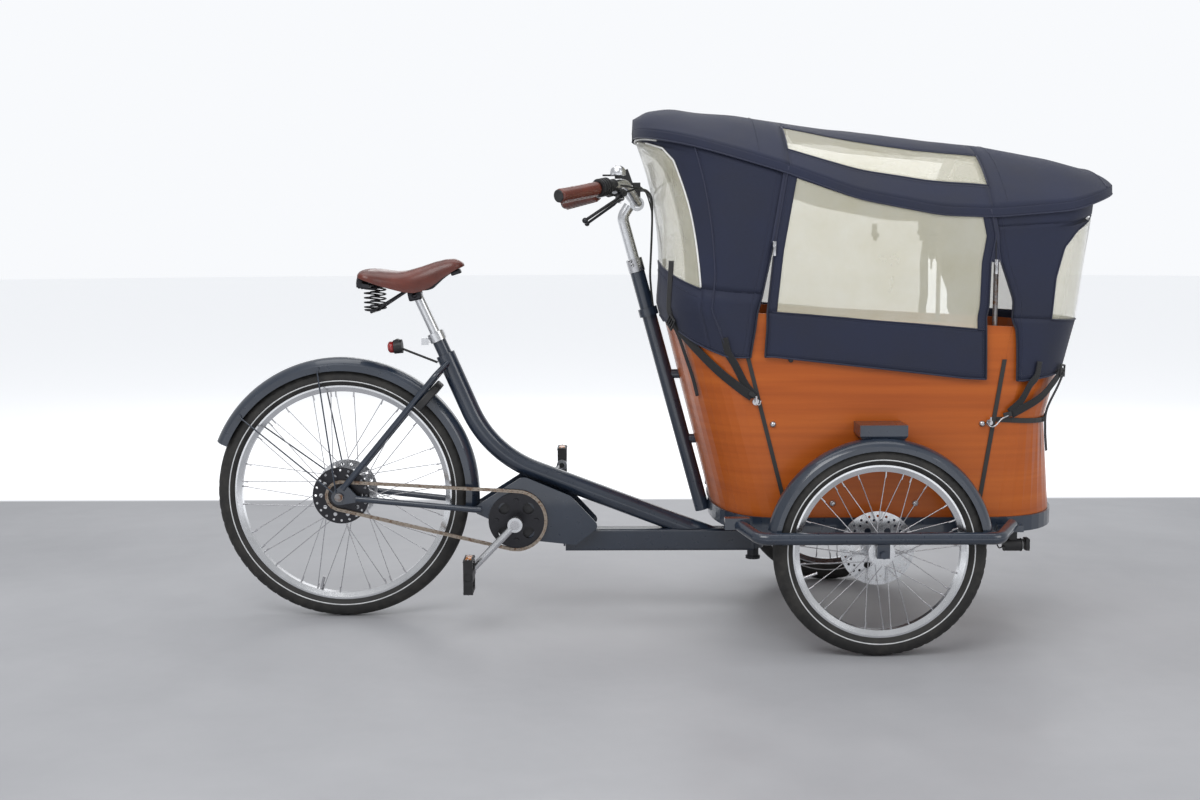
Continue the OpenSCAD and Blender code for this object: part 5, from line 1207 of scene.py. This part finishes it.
def hose(name, start, dia, lane):
    if name == "display_wire":
        mid = [V(772, 6, 1126), V(790, 6, 1112), V(800, 4, 1090)]
    else:
        mid = [V(768, start.y * 0.86, 1112), V(792, start.y * 0.55, 1110 + lane * 0.5),
               V(806, start.y * 0.2 + lane, 1092)]
    down = [V(x, lane, z) for x, z in DOWN_THE_POST]
    path = eased([start] + mid + down, 9)
    o = Parts().tube(path, dia / 2, 12).make(name, "cable", None, "black_parts")
    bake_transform(o)


for c in CORDS:
    hose(*c)


def lamp_wire():
    pts = eased([V(1640, -262, 279), V(1641, -266, 256), V(1646, -274, 238), V(1650, -279, 236), V(1657, -280, 242)], 9)
    o = Parts().tube(pts, 1.6, 10).make("headlight_wire", "cable", "front_frame", "black_parts")


lamp_wire()


# ---- cushions on the bench ----
def cushion(name, centre, size, rot, seams_at, swell):
    """Stuffed cover: a slightly smaller block puffed up by a short cloth run."""
    bm = bmesh.new()
    bmesh.ops.create_cube(bm, size=1)
    for v in bm.verts:
        v.co = V(v.co.x * (size[0] - 8), v.co.y * (size[1] - 8), v.co.z * (size[2] - 10)) / 1000
    bmesh.ops.bevel(bm, geom=list(bm.edges), offset=0.007, segments=3, profile=0.6, affect="EDGES")
    me = bpy.data.meshes.new(name)
    bm.to_mesh(me)
    bm.free()
    me.transform(rot.to_4x4())
    me.transform(Matrix.Translation(P(centre)))
    o = bpy.data.objects.new(name, me)
    SCENE.objects.link(o)
    me.materials.append(LOOK["cushion"])
    bpy.context.view_layer.objects.active = o
    modifier(o, "REMESH", mode="VOXEL", voxel_size=0.0065, use_smooth_shade=True)
    bake(o)
    before = np.empty(len(o.data.vertices) * 3, np.float32)
    o.data.vertices.foreach_get("co", before)
    m = modifier(o, "CLOTH")
    st = m.settings
    st.use_pressure, st.uniform_pressure_force = True, 4.0
    st.quality, st.mass, st.tension_stiffness, st.bending_stiffness = 5, 0.3, 20, 2
    st.effector_weights.gravity = 0
    m.point_cache.frame_start, m.point_cache.frame_end = 1, 20
    for f in range(1, 21):
        bpy.context.scene.frame_set(f)
    bake(o)
    bpy.context.scene.frame_set(1)
    after = np.empty_like(before)
    o.data.vertices.foreach_get("co", after)
    move = (after - before).reshape(-1, 3)
    far = np.linalg.norm(move, axis=1)
    lim = swell / 1000
    move *= (np.minimum(far, lim) / np.maximum(far, 1e-9))[:, None]
    o.data.vertices.foreach_set("co", (before.reshape(-1, 3) + move).ravel())
    inv = rot.inverted()
    mid = P(centre)
    for v in o.data.vertices:
        q = (inv @ (v.co - mid)) * 1000
        top = 1 if q.z > 0 else -1
        pull = 0.0
        for sx, sy, wide in seams_at:
            d = abs(q.y - sy) if sx is None else (q.x - sx) ** 2 + (q.y - sy) ** 2
            pull += 2.6 * math.exp(-(d / wide) ** 2) if sx is None else 5.0 * math.exp(-d / wide ** 2)
        crease = 0.7 * noise.noise(V(q.x, q.y * 0.6, q.z) / 34)
        edge = max(abs(q.x) / (size[0] / 2), abs(q.y) / (size[1] / 2))
        v.co += rot @ V(0, 0, (-top * pull + crease) * (1 if edge < 0.93 else 0.3)) / 1000
    o.data.update()
    modifier(o, "SUBSURF", levels=1, render_levels=1)
    for p in o.data.polygons:
        p.use_smooth = True
    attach(o, "front_frame")
    parts = Parts()
    hx, hy, hz = size[0] / 2 - 1, size[1] / 2 - 1, size[2] / 2 - 4
    squarish = lambda a, half: abs(a) ** 0.12 * half * (1 if a > 0 else -1)
    for z in (-hz, hz):
        turns = [2 * math.pi * k / 96 for k in range(96)]
        loop = [V(squarish(math.cos(g), hx), squarish(math.sin(g), hy), z) for g in turns]
        parts.tube([rot @ p + Vector(centre) for p in loop], 2.0, 8, closed=True)
    parts.make(name + "_piping", "seam", "front_frame", "cushion_cloth")
    return o


def bake(o):
    """Applies the modifiers so far."""
    dg = bpy.context.evaluated_depsgraph_get()
    me = bpy.data.meshes.new_from_object(o.evaluated_get(dg))
    o.modifiers.clear()
    o.data = me


LEAN = math.radians(14.4668)
BOARD = 548 + 12 + 0.1
seat_x0, seat_x1 = 1121.7, 1308.0
inner = 2 * BOX_Y - 24 - 24
seat_cushion = cushion("bench_seat_cushion", V((seat_x0 + seat_x1) / 2, 0, BOARD + 21),
                       (seat_x1 - seat_x0, inner, 42), Matrix.Identity(3),
                       ((None, 0, 7), (0, -140, 16), (0, 140, 16), (0, -245, 12), (0, 245, 12)), 5)
back_rot = Matrix.Rotation(-LEAN, 3, "Y") @ Matrix(((0, 0, 1), (0, 1, 0), (-1, 0, 0)))
back_c = V(1121.67, 0, BOARD + 42 * math.sin(LEAN)) + Matrix.Rotation(-LEAN, 3, "Y") @ V(-21, 0, 95)
cushion("bench_back_cushion", back_c, (190, inner - 40, 42), back_rot,
        ((None, 0, 7), (0, -130, 16), (0, 130, 16)), 5)
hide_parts("cushions")

# ---- floor and light ----
def studio_floor():
    g = Look("floor_look")
    sep = g.node("SeparateXYZ")
    g.link(g.co, sep.inputs[0])
    edge = g.math("MAXIMUM", g.math("DIVIDE", g.math("ABSOLUTE", sep.outputs["Y"]), 1.72),
                  g.math("DIVIDE", g.math("ABSOLUTE", sep.outputs["X"]), 3.4))
    away = g.ramp(edge, (0.97, 0.0), (1.0, 1.0))
    cloud = g.noise(1.3, 5, 0.6)
    near = g.ramp(cloud, (0.3, (0.36, 0.365, 0.385)), (0.75, (0.43, 0.435, 0.455)))
    g.set(Base_Color=g.mix(away, near, (0.93, 0.93, 0.935)),
          Roughness=g.ramp(g.noise(5, 5), (0.3, 0.42), (0.7, 0.58)),
          Emission_Color=g.mix(away, (0, 0, 0), (0.9, 0.93, 0.97)), Emission_Strength=0.42)
    g.bump(g.noise(180, 3), 0.04, 0.001)
    me = bpy.data.meshes.new("floor")
    n, r = 96, 40.0
    me.from_pydata([(r * math.cos(2 * math.pi * k / n), r * math.sin(2 * math.pi * k / n), 0) for k in range(n)],
                   [], [tuple(range(n))])
    o = bpy.data.objects.new("floor", me)
    SCENE.objects.link(o)
    me.materials.append(g.m)


def lamp(name, at, target, size, power, color=(1, 1, 1)):
    d = bpy.data.lights.new(name, "AREA")
    d.shape = "RECTANGLE"
    d.size, d.size_y = size
    d.energy = power
    d.color = color
    o = bpy.data.objects.new(name, d)
    SCENE.objects.link(o)
    o.location = at
    o.rotation_euler = (Vector(target) - Vector(at)).to_track_quat("-Z", "Y").to_euler()


studio_floor()
lamp("key", (-1.5, -3.2, 4.2), (0.1, 0, 0.4), (3.2, 2.4), 105)
lamp("fill", (3.4, -2.6, 2.6), (0.3, 0, 0.6), (2.0, 2.0), 34)
lamp("top", (0, 0.6, 4.6), (0, 0, 0), (5, 3), 72)
lamp("back", (0.5, 4.2, 2.6), (0, 0, 0.6), (4, 2), 40)
world = bpy.data.worlds.new("studio")
bpy.context.scene.world = world
world.use_nodes = True
sky = world.node_tree.nodes["Background"]
sky.inputs["Color"].default_value = (0.96, 0.975, 1.0, 1)
path = world.node_tree.nodes.new("ShaderNodeLightPath")
seen = world.node_tree.nodes.new("ShaderNodeMapRange")
seen.inputs["To Min"].default_value = 0.55
seen.inputs["To Max"].default_value = 0.98
world.node_tree.links.new(path.outputs["Is Camera Ray"], seen.inputs["Value"])
world.node_tree.links.new(seen.outputs["Result"], sky.inputs["Strength"])
bpy.context.scene.view_settings.view_transform = "Standard"
